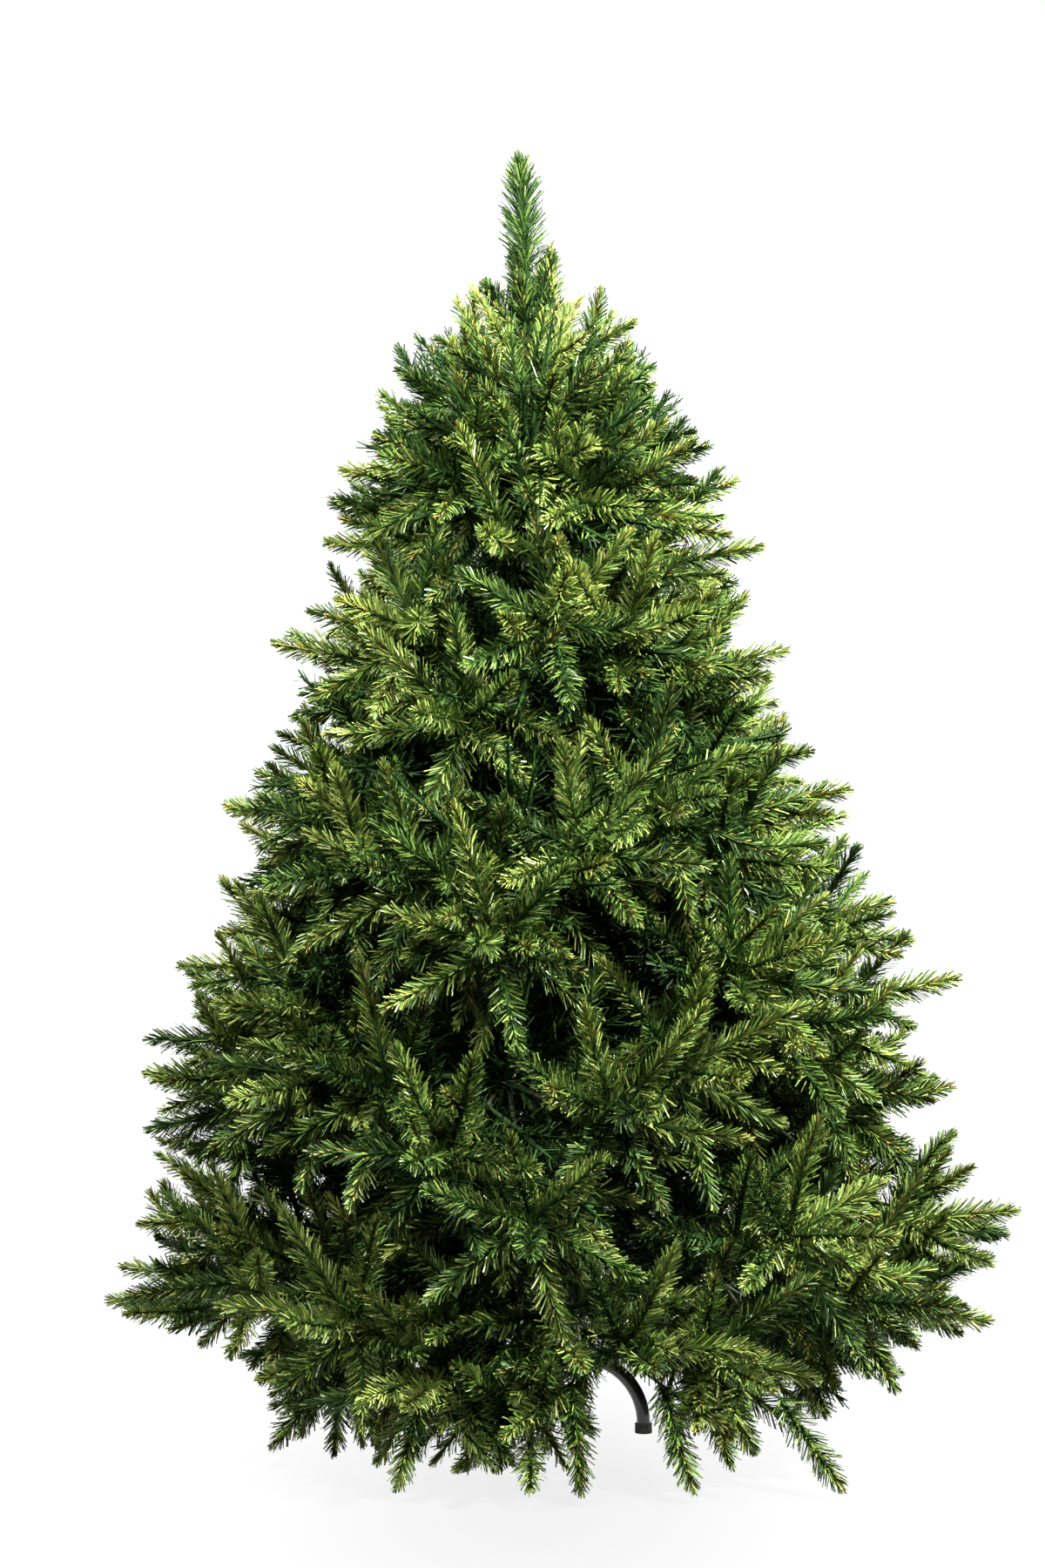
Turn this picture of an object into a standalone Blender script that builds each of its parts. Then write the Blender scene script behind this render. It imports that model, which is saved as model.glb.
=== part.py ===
"""An artificial Christmas tree on its steel stand: a sleeved pole with collars, tapering
boughs hooked into the lower collars, and masses of needle sprays round the pole.
Metres, +Z up, origin on the floor at the pole's axis, front towards -Y."""

import math
import random
from collections import namedtuple

import bmesh
import bpy
from mathutils import Matrix, Quaternion, Vector

# ---------------------------------------------------------------- driving dimensions
TREE_HEIGHT = 2.10
GAP = 0.0003  # between pieces that touch in the real tree
SEED = 11

# How far the needle tips stand from the pole: (height, reach) on the right and on the left,
# and in front and behind
REACH_RIGHT = (
    (0.03, 0.46), (0.12, 0.59), (0.20, 0.77), (0.38, 0.81), (0.46, 0.72), (0.68, 0.64),
    (0.78, 0.70), (0.84, 0.60), (0.91, 0.60), (1.06, 0.53), (1.16, 0.42), (1.33, 0.43),
    (1.42, 0.34), (1.49, 0.38), (1.59, 0.34), (1.66, 0.25), (1.81, 0.21), (1.88, 0.14),
)
REACH_LEFT = (
    (0.03, 0.38), (0.10, 0.42), (0.20, 0.72), (0.38, 0.66), (0.62, 0.64), (0.72, 0.57),
    (1.05, 0.52), (1.14, 0.41), (1.22, 0.37), (1.31, 0.44), (1.40, 0.34), (1.49, 0.36),
    (1.66, 0.30), (1.80, 0.22), (1.90, 0.18),
)
REACH_AHEAD = (
    (0.03, 0.68), (0.20, 0.74), (0.38, 0.74), (0.60, 0.66), (0.80, 0.64), (1.06, 0.53),
    (1.30, 0.44), (1.50, 0.38), (1.70, 0.27), (1.88, 0.16),
)

# Tiers from the floor up. twigs and whorls are the numbers in each mass, bough is the reach of
# the boughs, lift the rise of a tip per metre out, spray a tip's length, and phase shifts the
# order in which the tips' heights follow each other round the pole.
Tier = namedtuple("Tier", "name collar masses twigs whorls bough lift spray phase")
TIERS = (
    Tier("skirt", 0.42, 6, 4, 4, 0.24, -0.10, 0.260, -0.335),
    Tier("low", 0.69, 6, 4, 4, 0.24, 0.06, 0.260, -0.300),
    Tier("middle", 0.99, 6, 3, 4, 0.20, 0.12, 0.245, 0.0),
    Tier("high", 1.26, 6, 2, 4, None, 0.22, 0.230, 0.0),
    Tier("upper", 1.53, 3, 4, 5, None, 0.46, 0.190, 0.0),
)
FIRST_TURN = 22.0  # the azimuth of each tier's first mass
# The surfaces that part the tiers: (height at the pole, rise per metre out, step). They stand
# higher by the step over every second mass round the pole, and lower by it over the others.
EDGES = (
    (0.015, 0.00, 0.0), (0.530, -0.20, 0.07), (0.840, -0.12, 0.08), (1.120, -0.02, 0.07),
    (1.380, 0.12, 0.0), (1.740, 0.70, 0.0),
)
SPREAD = (0.14, 0.86)  # the lowest and the highest tips, between the edges of their tier
TIP_SCATTER = 0.03  # the most that a tip stands short of the outline, as a share of its reach
RISE_SPREAD, RISE_SCATTER = 0.7, 0.06  # how much more the high tips rise than the low ones

# Twigs and sprays. A spray is a slim core with a needle on each face of its bays
STEM_RADIUS, TWIG_RADIUS = 0.0085, 0.0045
FORK_FIRST, FORK_STEP = 0.016, 0.022  # where a mass's twigs leave its stem
TWIG_BEND, TWIG_THROW = 0.45, 0.12  # the control point of a twig's curve: share of it, and ahead
WHORL = 9
WHORL_LEAN, WHORL_SCATTER, WHORL_TWIST = math.radians(58), 0.2, 0.3
WHORL_FEET = (0.90, 0.62, 0.34)  # where the whorls stand along a twig
SHORTEST_SPRAY = 0.9  # in a whorl, as a share of the tip's length
GOLDEN_TURN = math.radians(137.5)
GOLDEN_SHARE = 0.618
CORE_SIDES = 3
CORE_RINGS = ((0.0, 0.0030), (0.40, 0.0085), (0.72, 0.0070), (1.0, 0.0032))  # share, radius
SPRAY_WIDTH = 0.29  # radius over length
SPRAY_OPENING, SPRAY_CLOSING = (0.25, 2.6), (0.30, 3.0)  # radius at an end, and its growth
SPRAY_MIDDLE = 0.6  # where a spray counts as standing, as a share of its length
FIT_STEPS = 8
TIP_WIDTHS = (1.0, 0.9, 0.8, 0.7, 0.6)  # a tip takes the first of these that its space allows
WHORL_SIZES = (1.1, 1.0, 0.9, 0.8, 0.7, 0.6)
NEEDLE_SWEEP = 0.85  # how far on a needle's tip is, for each metre out
NEEDLE_LIMIT = 0.97  # where the first needles end at most, as a share of the spray's length
SPACE_MARGIN = 0.001

# Leader
LEADER_LEAN, LEADER_STEM = -0.022, 0.50
LEADER_SHOOTS = (  # foot and length as shares of the leader's, radius, tilt, azimuth
    (0.44, 0.56, 0.034, 0.00, 0.0), (0.14, 0.50, 0.040, 0.16, 150.0),
    (0.10, 0.54, 0.040, 0.30, 20.0), (0.06, 0.46, 0.040, 0.34, 250.0),
    (0.10, 0.44, 0.040, 0.36, 95.0), (0.04, 0.50, 0.040, 0.60, 185.0),
)

# Boughs
BOUGH_ROOT_RADIUS, BOUGH_TIP_RADIUS = 0.0085, 0.0060
BOUGH_STUB, BOUGH_POINTS = 0.014, 4
BOUGH_BEND = 0.4  # where a bough's curve bends, as a share of its reach
BOUGH_END = 0.6  # where a bough ends between the edges of its tier
BOUGH_DROP = 0.06  # the most that a bough's end lies below its collar

# Pole: lengths of tube pushed into each other, with sleeves where they meet
POLE_SIDES = 16
POLE_WALL = 0.0012
POLE_FOOT = 0.0075
POLE_TOP = 1.750
POLE_TUBES = ((0.760, 0.0160), (1.400, 0.0140), (POLE_TOP, 0.0095))  # top height, radius
SLEEVE_HALF, SLEEVE_STEP = 0.020, 0.0022
COLLAR_RADIUS, COLLAR_HALF = 0.030, 0.0130

# Stand
SOCKET_BORE, SOCKET_OUTER, SOCKET_RING = 0.0172, 0.0195, 0.0290
SOCKET_BOTTOM, SOCKET_TOP = 0.0070, 0.195
LEG_HEIGHT, LEG_RADIUS, LEG_ARCH, LEG_REACH = 0.120, 0.0110, 0.103, 0.186
RING_HALF = 0.0160
LEG_TURN = -13.0
LEGS = ("right", "back", "left", "front")
SHOE_RADIUS, SHOE_BORE, SHOE_HEIGHT, SHOE_FLOOR = 0.0142, 0.0118, 0.0160, 0.0050
PLUG_FLANGE = 0.0265
SCREW_HEIGHT, SCREW_RADIUS, SCREW_HOLE = 0.172, 0.0030, 0.0034
SCREW_HEAD, SCREW_REACH, SCREW_HEAD_LENGTH = 0.0110, 0.052, 0.014


# ---------------------------------------------------------------- small helpers
def clear_scene():
    for obj in list(bpy.data.objects):
        bpy.data.objects.remove(obj)


def new_collection(name, hidden=False):
    collection = bpy.data.collections.new(name)
    bpy.context.scene.collection.children.link(collection)
    collection.hide_render = hidden
    return collection


def material(name, colour, roughness, metallic=0.0):
    made = bpy.data.materials.new(name)
    made.use_nodes = True
    shader = made.node_tree.nodes["Principled BSDF"]
    shader.inputs["Base Color"].default_value = (*colour, 1.0)
    shader.inputs["Roughness"].default_value = roughness
    shader.inputs["Metallic"].default_value = metallic
    return made


def add_object(name, data, collection, finish=None, parent=None):
    obj = bpy.data.objects.new(name, data)
    collection.objects.link(obj)
    if finish:
        data.materials.clear()
        data.materials.append(finish)
    obj.parent = parent
    return obj


def baked(obj, name, collection, finish):
    """A plain mesh object with the evaluated shape of obj, which is then removed."""
    graph = bpy.context.evaluated_depsgraph_get()
    mesh = bpy.data.meshes.new_from_object(obj.evaluated_get(graph))
    shape = bmesh.new()
    shape.from_mesh(mesh)
    bmesh.ops.remove_doubles(shape, verts=shape.verts, dist=1e-6)
    bmesh.ops.recalc_face_normals(shape, faces=shape.faces)
    shape.to_mesh(mesh)
    shape.free()
    made = add_object(name, mesh, collection, finish)
    made.matrix_world = obj.matrix_world.copy()
    bpy.data.objects.remove(obj)
    return made


def limb(name, points, radii, collection, finish):
    """A tapering six-sided limb through the points, as a mesh."""
    curve = bpy.data.curves.new(name, "CURVE")
    curve.dimensions = "3D"
    curve.bevel_depth = 1.0
    curve.bevel_resolution = 1
    curve.use_fill_caps = True
    spline = curve.splines.new("POLY")
    spline.points.add(len(points) - 1)
    for place, point, radius in zip(spline.points, points, radii):
        place.co = (*point, 1.0)
        place.radius = radius
    guide = add_object(name + "_guide", curve, collection)
    bpy.context.view_layer.update()
    return baked(guide, name, collection, finish)


def turned(name, profile, sides, collection, finish):
    """A solid turned about Z from a profile of (radius, height) that runs down its outer side."""
    mesh = bpy.data.meshes.new(name)
    points = [(radius, 0.0, height) for radius, height in profile]
    mesh.from_pydata(points, [(i, i + 1) for i in range(len(points) - 1)], [])
    obj = add_object(name, mesh, collection, finish)
    screw = obj.modifiers.new("turn", "SCREW")
    screw.steps = screw.render_steps = sides
    screw.use_merge_vertices = True
    screw.merge_threshold = 0.00005
    screw.use_smooth_shade = False
    return obj


def move_to(obj, collection):
    for holder in list(obj.users_collection):
        holder.objects.unlink(obj)
    collection.objects.link(obj)


def polar(radius, azimuth, height):
    return Vector((radius * math.cos(azimuth), radius * math.sin(azimuth), height))


def bent(start, control, end, share):
    """A point on the curve that leaves start towards control and comes to end."""
    return start.lerp(control, share).lerp(control.lerp(end, share), share)


def along(profile, height):
    """The value at a height in a list of (height, value), level past its ends."""
    if height <= profile[0][0]:
        return profile[0][1]
    for (low, at_low), (high, at_high) in zip(profile, profile[1:]):
        if height <= high:
            return at_low + (at_high - at_low) * (height - low) / (high - low)
    return profile[-1][1]


def seeded(*keys):
    """A random stream that belongs to one place on the tree, the same in every run."""
    number = SEED
    for key in keys:
        number = number * 131 + key
    return random.Random(number)


# ---------------------------------------------------------------- the crown's rule
def reach(height, azimuth):
    """How far the needle tips stand from the pole at a height and azimuth."""
    right_share = 0.5 + 0.5 * math.cos(azimuth)
    left, ahead = along(REACH_LEFT, height), along(REACH_AHEAD, height)
    aside = left + (along(REACH_RIGHT, height) - left) * right_share
    return aside + (ahead - aside) * math.sin(azimuth) ** 2


def edge(index, radius, number):
    """The height of a surface between two tiers, at a distance from the pole, at a mass."""
    at_pole, rise, step = EDGES[index]
    return at_pole + rise * radius + (step if number % 2 else -step)


def mass_azimuth(level, number):
    return math.radians(FIRST_TURN + number * 360.0 / TIERS[level].masses)


def room(point, level, number):
    """The distance from a point inside a mass's space to the nearest edge of that space."""
    tier = TIERS[level]
    radius = math.hypot(point.x, point.y)
    aside = math.atan2(point.y, point.x) - mass_azimuth(level, number)
    aside = abs((aside + math.pi) % (2 * math.pi) - math.pi)
    to_side = radius * math.sin(min(math.pi / tier.masses - aside, math.pi / 2))
    to_below = point.z - edge(level, radius, number)
    to_above = edge(level + 1, radius, number) - point.z
    to_below *= math.cos(math.atan(EDGES[level][1]))
    to_above *= math.cos(math.atan(EDGES[level + 1][1]))
    to_inside = radius - (tier.bough or COLLAR_RADIUS)
    return min(to_side, to_below, to_above, to_inside)


def mass_root(level, number):
    """Where a mass's stem starts, and its direction: at a bough's tip, or in a collar."""
    tier, azimuth = TIERS[level], mass_azimuth(level, number)
    if tier.bough is None:
        return polar(COLLAR_RADIUS + GAP, azimuth, tier.collar), polar(1, azimuth, 0)
    points = bough_line(level, number)
    heading = (points[-1] - points[-2]).normalized()
    return points[-1] + GAP * heading, heading


def bough_line(level, number):
    """The points of a bough, level where it leaves the collar and then following its tier."""
    tier, azimuth = TIERS[level], mass_azimuth(level, number)
    root = polar(COLLAR_RADIUS + GAP, azimuth, tier.collar)
    start = polar(COLLAR_RADIUS + BOUGH_STUB, azimuth, tier.collar)
    control = polar(BOUGH_BEND * tier.bough, azimuth, tier.collar)
    below, above = edge(level, tier.bough, number), edge(level + 1, tier.bough, number)
    height = max(below + BOUGH_END * (above - below), tier.collar - BOUGH_DROP)
    end = polar(tier.bough, azimuth, height)
    shares = [i / (BOUGH_POINTS - 1) for i in range(BOUGH_POINTS)]
    return [root] + [bent(start, control, end, share) for share in shares]


Twig = namedtuple("Twig", "key foot control end heading")
Spray = namedtuple("Spray", "foot heading length radius roll")


def twigs_of(level, number):
    """The twigs that fan out from a mass's stem, their tips evenly scattered on the crown."""
    tier = TIERS[level]
    root, heading = mass_root(level, number)
    for index in range(tier.twigs):
        key = (level, number, index)
        chance = seeded(*key)
        order = GOLDEN_SHARE * (number * tier.twigs + index + 0.5) + tier.phase
        share = SPREAD[0] + (SPREAD[1] - SPREAD[0]) * (order % 1.0)
        aside = (2 * index + 1) / tier.twigs - 1
        azimuth = mass_azimuth(level, number) + math.pi / tier.masses * aside
        height, out = outline_place(level, number, share, azimuth)
        out *= chance.uniform(1 - TIP_SCATTER, 1)
        rise = tier.lift + RISE_SPREAD * (share - 0.5) + chance.uniform(-RISE_SCATTER, RISE_SCATTER)
        tip_heading = polar(1, azimuth, rise).normalized()
        end = polar(out, azimuth, height + 0.5 * rise * tier.spray) - tier.spray * tip_heading
        fork = root + (FORK_FIRST + index * FORK_STEP) * heading
        control = fork.lerp(end, TWIG_BEND) + TWIG_THROW * (end - fork).length * heading
        yield Twig(key, fork, control, end, tip_heading)


def outline_place(level, number, share, azimuth):
    """Where a tip at a share of its tier's height meets the crown's outline: height, reach."""
    height = TIERS[level].collar
    for _ in range(4):
        out = reach(height, azimuth)
        below, above = edge(level, out, number), edge(level + 1, out, number)
        height = below + share * (above - below)
    return height, out


def tip_spray(twig):
    """The spray that carries a twig on to the crown's outline."""
    chance = seeded(*twig.key, 1)
    length = TIERS[twig.key[0]].spray
    return Spray(twig.end, twig.heading, length, SPRAY_WIDTH * length, chance.uniform(0, math.tau))


def whorl_sprays(twig, foot_share):
    """The sprays that stand out all round a twig."""
    foot = bent(twig.foot, twig.control, twig.end, foot_share)
    ahead = bent(twig.foot, twig.control, twig.end, foot_share + 0.05)
    heading = (ahead - foot).normalized()
    sideways = heading.orthogonal().normalized()
    chance = seeded(*twig.key, 2, round(foot_share * 100))
    for index in range(WHORL):
        twist = chance.uniform(-WHORL_TWIST, WHORL_TWIST)
        turn = Quaternion(heading, index * GOLDEN_TURN + twist)
        lean = WHORL_LEAN + chance.uniform(-WHORL_SCATTER, WHORL_SCATTER)
        outward = Quaternion(turn @ sideways, lean) @ heading
        length = TIERS[twig.key[0]].spray * chance.uniform(SHORTEST_SPRAY, 1)
        yield Spray(foot, outward, length, SPRAY_WIDTH * length, chance.uniform(0, math.tau))


def narrower(spray):
    """A tip's spray at each of its widths, the widest first."""
    return [spray._replace(radius=size * spray.radius) for size in TIP_WIDTHS]


def smaller(spray):
    """A whorl's spray at each of its sizes, the largest first."""
    return [
        spray._replace(length=size * spray.length, radius=size * spray.radius)
        for size in WHORL_SIZES
    ]


def first_fit(sprays, level, number):
    """The first of the sprays that keeps to its mass's space, or None."""
    return next((spray for spray in sprays if fits(spray, level, number)), None)


def spray_reach(spray, share):
    """How far the needles stand from a spray's line, from its foot to its tip."""
    opening = SPRAY_OPENING[0] + SPRAY_OPENING[1] * share
    closing = SPRAY_CLOSING[0] + SPRAY_CLOSING[1] * (1 - share)
    return spray.radius * min(1.0, opening, closing)


def fits(spray, level, number):
    """Whether a spray keeps to its mass's space."""
    for step in range(1, FIT_STEPS + 1):
        share = step / FIT_STEPS
        place = spray.foot + share * spray.length * spray.heading
        if room(place, level, number) < spray_reach(spray, share) + SPACE_MARGIN:
            return False
    return True


# ---------------------------------------------------------------- foliage
def ring_place(point, heading, roll, radius):
    """Where a core's ring lies: its centre, the way it faces and its size."""
    turn = heading.to_track_quat("Z", "Y") @ Quaternion((0, 0, 1), roll)
    return Matrix.LocRotScale(point, turn, Vector((radius, radius, 1)))


def spray_rings(spray):
    for share, radius in CORE_RINGS:
        point = spray.foot + share * spray.length * spray.heading
        yield ring_place(point, spray.heading, spray.roll, radius)


def twig_rings(twig, roll):
    """Two rings from the fork along a twig, which the rings of its tip spray follow."""
    along_twig = [bent(twig.foot, twig.control, twig.end, share) for share in (0.0, 0.5)]
    heading = (along_twig[1] - along_twig[0]).normalized()
    yield ring_place(along_twig[0], heading, roll, TWIG_RADIUS)
    yield ring_place(along_twig[1], (twig.end - twig.foot).normalized(), roll, TWIG_RADIUS)


def core(rings):
    """A closed three-sided tube through its rings, with the faces of each of its bays."""
    shape = bmesh.new()
    bmesh.ops.create_circle(shape, segments=CORE_SIDES, radius=1, matrix=rings[0])
    edges = shape.edges[:]
    bays = []
    for before, place in zip(rings, rings[1:]):
        grown = bmesh.ops.extrude_edge_only(shape, edges=edges)["geom"]
        edges = [g for g in grown if isinstance(g, bmesh.types.BMEdge)]
        for vertex in (g for g in grown if isinstance(g, bmesh.types.BMVert)):
            vertex.co = place @ before.inverted() @ vertex.co
        bays.append([g for g in grown if isinstance(g, bmesh.types.BMFace)])
    bmesh.ops.holes_fill(shape, edges=[e for e in shape.edges if e.is_boundary])
    return shape, bays


def draw_needles(shape, faces, spray):
    """Draw a needle outwards and on towards the spray's tip from the middle of each face."""
    for vertex in bmesh.ops.poke(shape, faces=faces)["verts"]:
        along_core = (vertex.co - spray.foot).dot(spray.heading)
        axis_point = spray.foot + along_core * spray.heading
        share = along_core / spray.length
        outward = (vertex.co - axis_point).normalized() * spray_reach(spray, share)
        limit = (NEEDLE_LIMIT + (1 - NEEDLE_LIMIT) * share) * spray.length
        forward = min(NEEDLE_SWEEP * outward.length, limit - along_core)
        vertex.co = axis_point + forward * spray.heading + outward


def core_object(name, shape, collection):
    bmesh.ops.recalc_face_normals(shape, faces=shape.faces)
    mesh = bpy.data.meshes.new(name)
    shape.to_mesh(mesh)
    shape.free()
    return add_object(name, mesh, collection)


def spray_object(spray, collection, stalk=()):
    """A spray as one closed mesh, led in by the rings of its stalk."""
    shape, bays = core([*stalk, *spray_rings(spray)])
    draw_needles(shape, sum(bays[len(stalk) :], []), spray)
    return core_object("spray", shape, collection)


def fused(stem, others, name, parts, finish):
    """The stem joined with everything in the other collection, which is then emptied."""
    union = stem.modifiers.new("join", "BOOLEAN")
    union.operation = "UNION"
    union.operand_type = "COLLECTION"
    union.collection = others
    union.solver = "MANIFOLD"
    bpy.context.view_layer.update()
    mass = baked(stem, name, parts, finish)
    keep_one_body(mass.data)
    for obj in list(others.objects):
        bpy.data.objects.remove(obj)
    return mass


def keep_one_body(mesh):
    """Fill what the join sealed in and drop its scraps: only the mesh's largest body stays."""
    shape = bmesh.new()
    shape.from_mesh(mesh)
    bodies, unseen = [], set(shape.faces)
    while unseen:
        body, border = [], [unseen.pop()]
        while border:
            face = border.pop()
            body.append(face)
            nearby = {other for edge in face.edges for other in edge.link_faces} & unseen
            unseen -= nearby
            border += nearby
        bodies.append(body)
    bodies.sort(key=len)
    for body in bodies[:-1]:
        bmesh.ops.delete(shape, geom=body, context="FACES")
    shape.to_mesh(mesh)
    shape.free()


def make_mass(level, number, name, parts, pieces, finish):
    tier = TIERS[level]
    root, heading = mass_root(level, number)
    placed, choices = [], []
    for twig in twigs_of(level, number):
        tip = first_fit(narrower(tip_spray(twig)), level, number)
        if tip is None:
            continue
        spray_object(tip, pieces, stalk=list(twig_rings(twig, tip.roll)))
        placed.append(tip)
        for foot_share in WHORL_FEET:
            sprays = whorl_sprays(twig, foot_share)
            choices += [first_fit(smaller(spray), level, number) for spray in sprays]
    choices = [spray for spray in choices if spray]
    for _ in range(min(tier.whorls, len(choices))):
        placed.append(max(choices, key=lambda spray: clearance(spray, placed)))
        choices.remove(placed[-1])
        spray_object(placed[-1], pieces)
    ends = (root, root + (FORK_FIRST + tier.twigs * FORK_STEP) * heading)
    stem, _ = core([ring_place(point, heading, 0, STEM_RADIUS) for point in ends])
    return fused(core_object("stem", stem, parts), pieces, name, parts, finish)


def clearance(spray, placed):
    """How far the middle of a spray is from the nearest middle of those already placed."""
    return min((spray_middle(spray) - spray_middle(other)).length for other in placed)


def spray_middle(spray):
    return spray.foot + SPRAY_MIDDLE * spray.length * spray.heading


def make_leader(parts, pieces, finish):
    """The upright sprays on the pole's top, leaning a little to the left."""
    root = Vector((0, 0, POLE_TOP + GAP))
    top = Vector((LEADER_LEAN, 0, TREE_HEIGHT))
    lean = (top - root).normalized()
    length = (top - root).length
    for index, (foot, size, radius, tilt, azimuth) in enumerate(LEADER_SHOOTS):
        heading = (lean + tilt * polar(1, math.radians(azimuth), 0)).normalized()
        spray = Spray(root + foot * length * lean, heading, size * length, radius, index)
        spray_object(spray, pieces)
    ends = (root, root + LEADER_STEM * length * lean)
    stem, _ = core([ring_place(point, lean, 0, STEM_RADIUS) for point in ends])
    return fused(core_object("stem", stem, parts), pieces, "needles_leader", parts, finish)


# ---------------------------------------------------------------- pole
def pole_profile():
    """The pole's outer side from its top down, then its bore from the foot back up."""
    steps = [(0.0, POLE_TOP), (POLE_TUBES[-1][1], POLE_TOP)]
    marks = [(tier.collar, "collar") for tier in TIERS]
    marks += [(top, "sleeve") for top, _ in POLE_TUBES[:-1]]
    for height, kind in sorted(marks, reverse=True):
        above = tube_radius(height + SLEEVE_HALF)
        below = tube_radius(height - SLEEVE_HALF)
        if kind == "sleeve":
            outer = below + SLEEVE_STEP
            steps += [(above, height + SLEEVE_HALF), (outer, height + SLEEVE_HALF)]
            steps += [(outer, height - SLEEVE_HALF), (below, height - SLEEVE_HALF)]
            continue
        steps += [(above, height + COLLAR_HALF), (COLLAR_RADIUS, height + COLLAR_HALF)]
        steps += [(COLLAR_RADIUS, height - COLLAR_HALF), (below, height - COLLAR_HALF)]
    foot_radius = POLE_TUBES[0][1]
    bore_top = POLE_TUBES[0][0] - 2 * SLEEVE_HALF
    bore = foot_radius - POLE_WALL
    return steps + [(foot_radius, POLE_FOOT), (bore, POLE_FOOT), (bore, bore_top), (0.0, bore_top)]


def tube_radius(height):
    return next((radius for top, radius in POLE_TUBES if height <= top), POLE_TUBES[-1][1])


# ---------------------------------------------------------------- stand
def make_socket(parts, cutters, finish):
    """The tube that holds the pole, with the ring that the legs are welded to."""
    ring_top, ring_bottom = LEG_HEIGHT + RING_HALF, LEG_HEIGHT - RING_HALF
    profile = [
        (SOCKET_BORE, SOCKET_TOP), (SOCKET_OUTER, SOCKET_TOP), (SOCKET_OUTER, ring_top),
        (SOCKET_RING, ring_top), (SOCKET_RING, ring_bottom), (SOCKET_OUTER, ring_bottom),
        (SOCKET_OUTER, SOCKET_BOTTOM), (SOCKET_BORE, SOCKET_BOTTOM), (SOCKET_BORE, SOCKET_TOP),
    ]
    socket = turned("stand_socket", profile, POLE_SIDES, parts, finish)
    for side, azimuth in screw_azimuths():
        bpy.ops.mesh.primitive_cylinder_add(vertices=10, radius=SCREW_HOLE, depth=0.03)
        drill = bpy.context.object
        drill.name = "screw_hole_" + side
        drill.rotation_euler = (0, math.pi / 2, azimuth)
        drill.location = polar(0.02, azimuth, SCREW_HEIGHT)
        drill.hide_render = True
        drill.display_type = "WIRE"
        move_to(drill, cutters)
        cut = socket.modifiers.new("hole_" + side, "BOOLEAN")
        cut.operation = "DIFFERENCE"
        cut.object = drill
        cut.solver = "EXACT"
    return socket


def screw_azimuths():
    """The two thumbscrews stand between the legs, on the left and on the right."""
    between = LEG_TURN + 45.0
    return (("right", math.radians(between)), ("left", math.radians(between + 180.0)))


def make_screw(side, azimuth, parts, finish):
    """A thumbscrew whose end meets the pole through the socket's wall."""
    shank_end = POLE_TUBES[0][1] + GAP
    head_start = SCREW_REACH - SCREW_HEAD_LENGTH
    profile = [
        (0.0, SCREW_REACH), (0.8 * SCREW_HEAD, SCREW_REACH), (SCREW_HEAD, SCREW_REACH - 0.002),
        (SCREW_HEAD, head_start), (SCREW_RADIUS, head_start), (SCREW_RADIUS, shank_end),
        (0.0, shank_end),
    ]
    screw = turned("stand_screw_" + side, profile, 10, parts, finish)
    screw.rotation_euler = (0, math.pi / 2, azimuth)
    screw.location = (0, 0, SCREW_HEIGHT)
    return screw


def make_leg(place, azimuth, parts, finish):
    """A tube that leaves the socket's ring level and bends down to stand upright on its foot."""
    curve = bpy.data.curves.new("stand_leg_" + place, "CURVE")
    curve.dimensions = "3D"
    curve.bevel_depth = LEG_RADIUS
    curve.bevel_resolution = 2
    curve.use_fill_caps = True
    arch_start = LEG_REACH - LEG_ARCH
    steps = 8
    line = [(SOCKET_RING + GAP, LEG_HEIGHT)]
    for step in range(steps + 1):
        angle = math.pi / 2 * (1 - step / steps)
        drop = LEG_ARCH * (1 - math.sin(angle))
        line.append((arch_start + LEG_ARCH * math.cos(angle), LEG_HEIGHT - drop))
    line.append((LEG_REACH, SHOE_FLOOR + GAP))
    spline = curve.splines.new("POLY")
    spline.points.add(len(line) - 1)
    for point, (out, height) in zip(spline.points, line):
        point.co = (out, 0, height, 1.0)
    leg = add_object(curve.name, curve, parts, finish)
    leg.rotation_euler = (0, 0, azimuth)
    return leg


def make_shoe(place, azimuth, parts, finish):
    """A rubber cup that a leg's foot stands in, with the part's flat underside."""
    profile = [
        (0.0, SHOE_FLOOR), (SHOE_BORE, SHOE_FLOOR), (SHOE_BORE, SHOE_HEIGHT),
        (SHOE_RADIUS, SHOE_HEIGHT), (SHOE_RADIUS, 0.0), (0.0, 0.0),
    ]
    shoe = turned("stand_shoe_" + place, profile, 12, parts, finish)
    shoe.location = polar(LEG_REACH, azimuth, 0)
    return shoe


def make_plug(parts, finish):
    """The rubber plug under the socket, which closes it and touches the floor."""
    top = SOCKET_BOTTOM - GAP
    profile = [
        (0.0, top), (PLUG_FLANGE, top), (PLUG_FLANGE, 0.001), (PLUG_FLANGE - 0.001, 0.0),
        (0.0, 0.0),
    ]
    return turned("stand_plug", profile, POLE_SIDES, parts, finish)


# ---------------------------------------------------------------- assembly
def make_stand(parts, cutters, black, rubber, zinc):
    make_socket(parts, cutters, black)
    make_plug(parts, rubber)
    for index, place in enumerate(LEGS):
        azimuth = math.radians(LEG_TURN + 90.0 * index)
        make_leg(place, azimuth, parts, black)
        make_shoe(place, azimuth, parts, rubber)
    for side, azimuth in screw_azimuths():
        make_screw(side, azimuth, parts, zinc)


def make_boughs(parts, finish):
    for level, tier in enumerate(TIERS):
        if tier.bough is None:
            continue
        for number in range(tier.masses):
            points = bough_line(level, number)
            fall = (BOUGH_TIP_RADIUS - BOUGH_ROOT_RADIUS) / (len(points) - 1)
            radii = [BOUGH_ROOT_RADIUS + fall * i for i in range(len(points))]
            limb(f"bough_{tier.name}_{number + 1}", points, radii, parts, finish)


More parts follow.
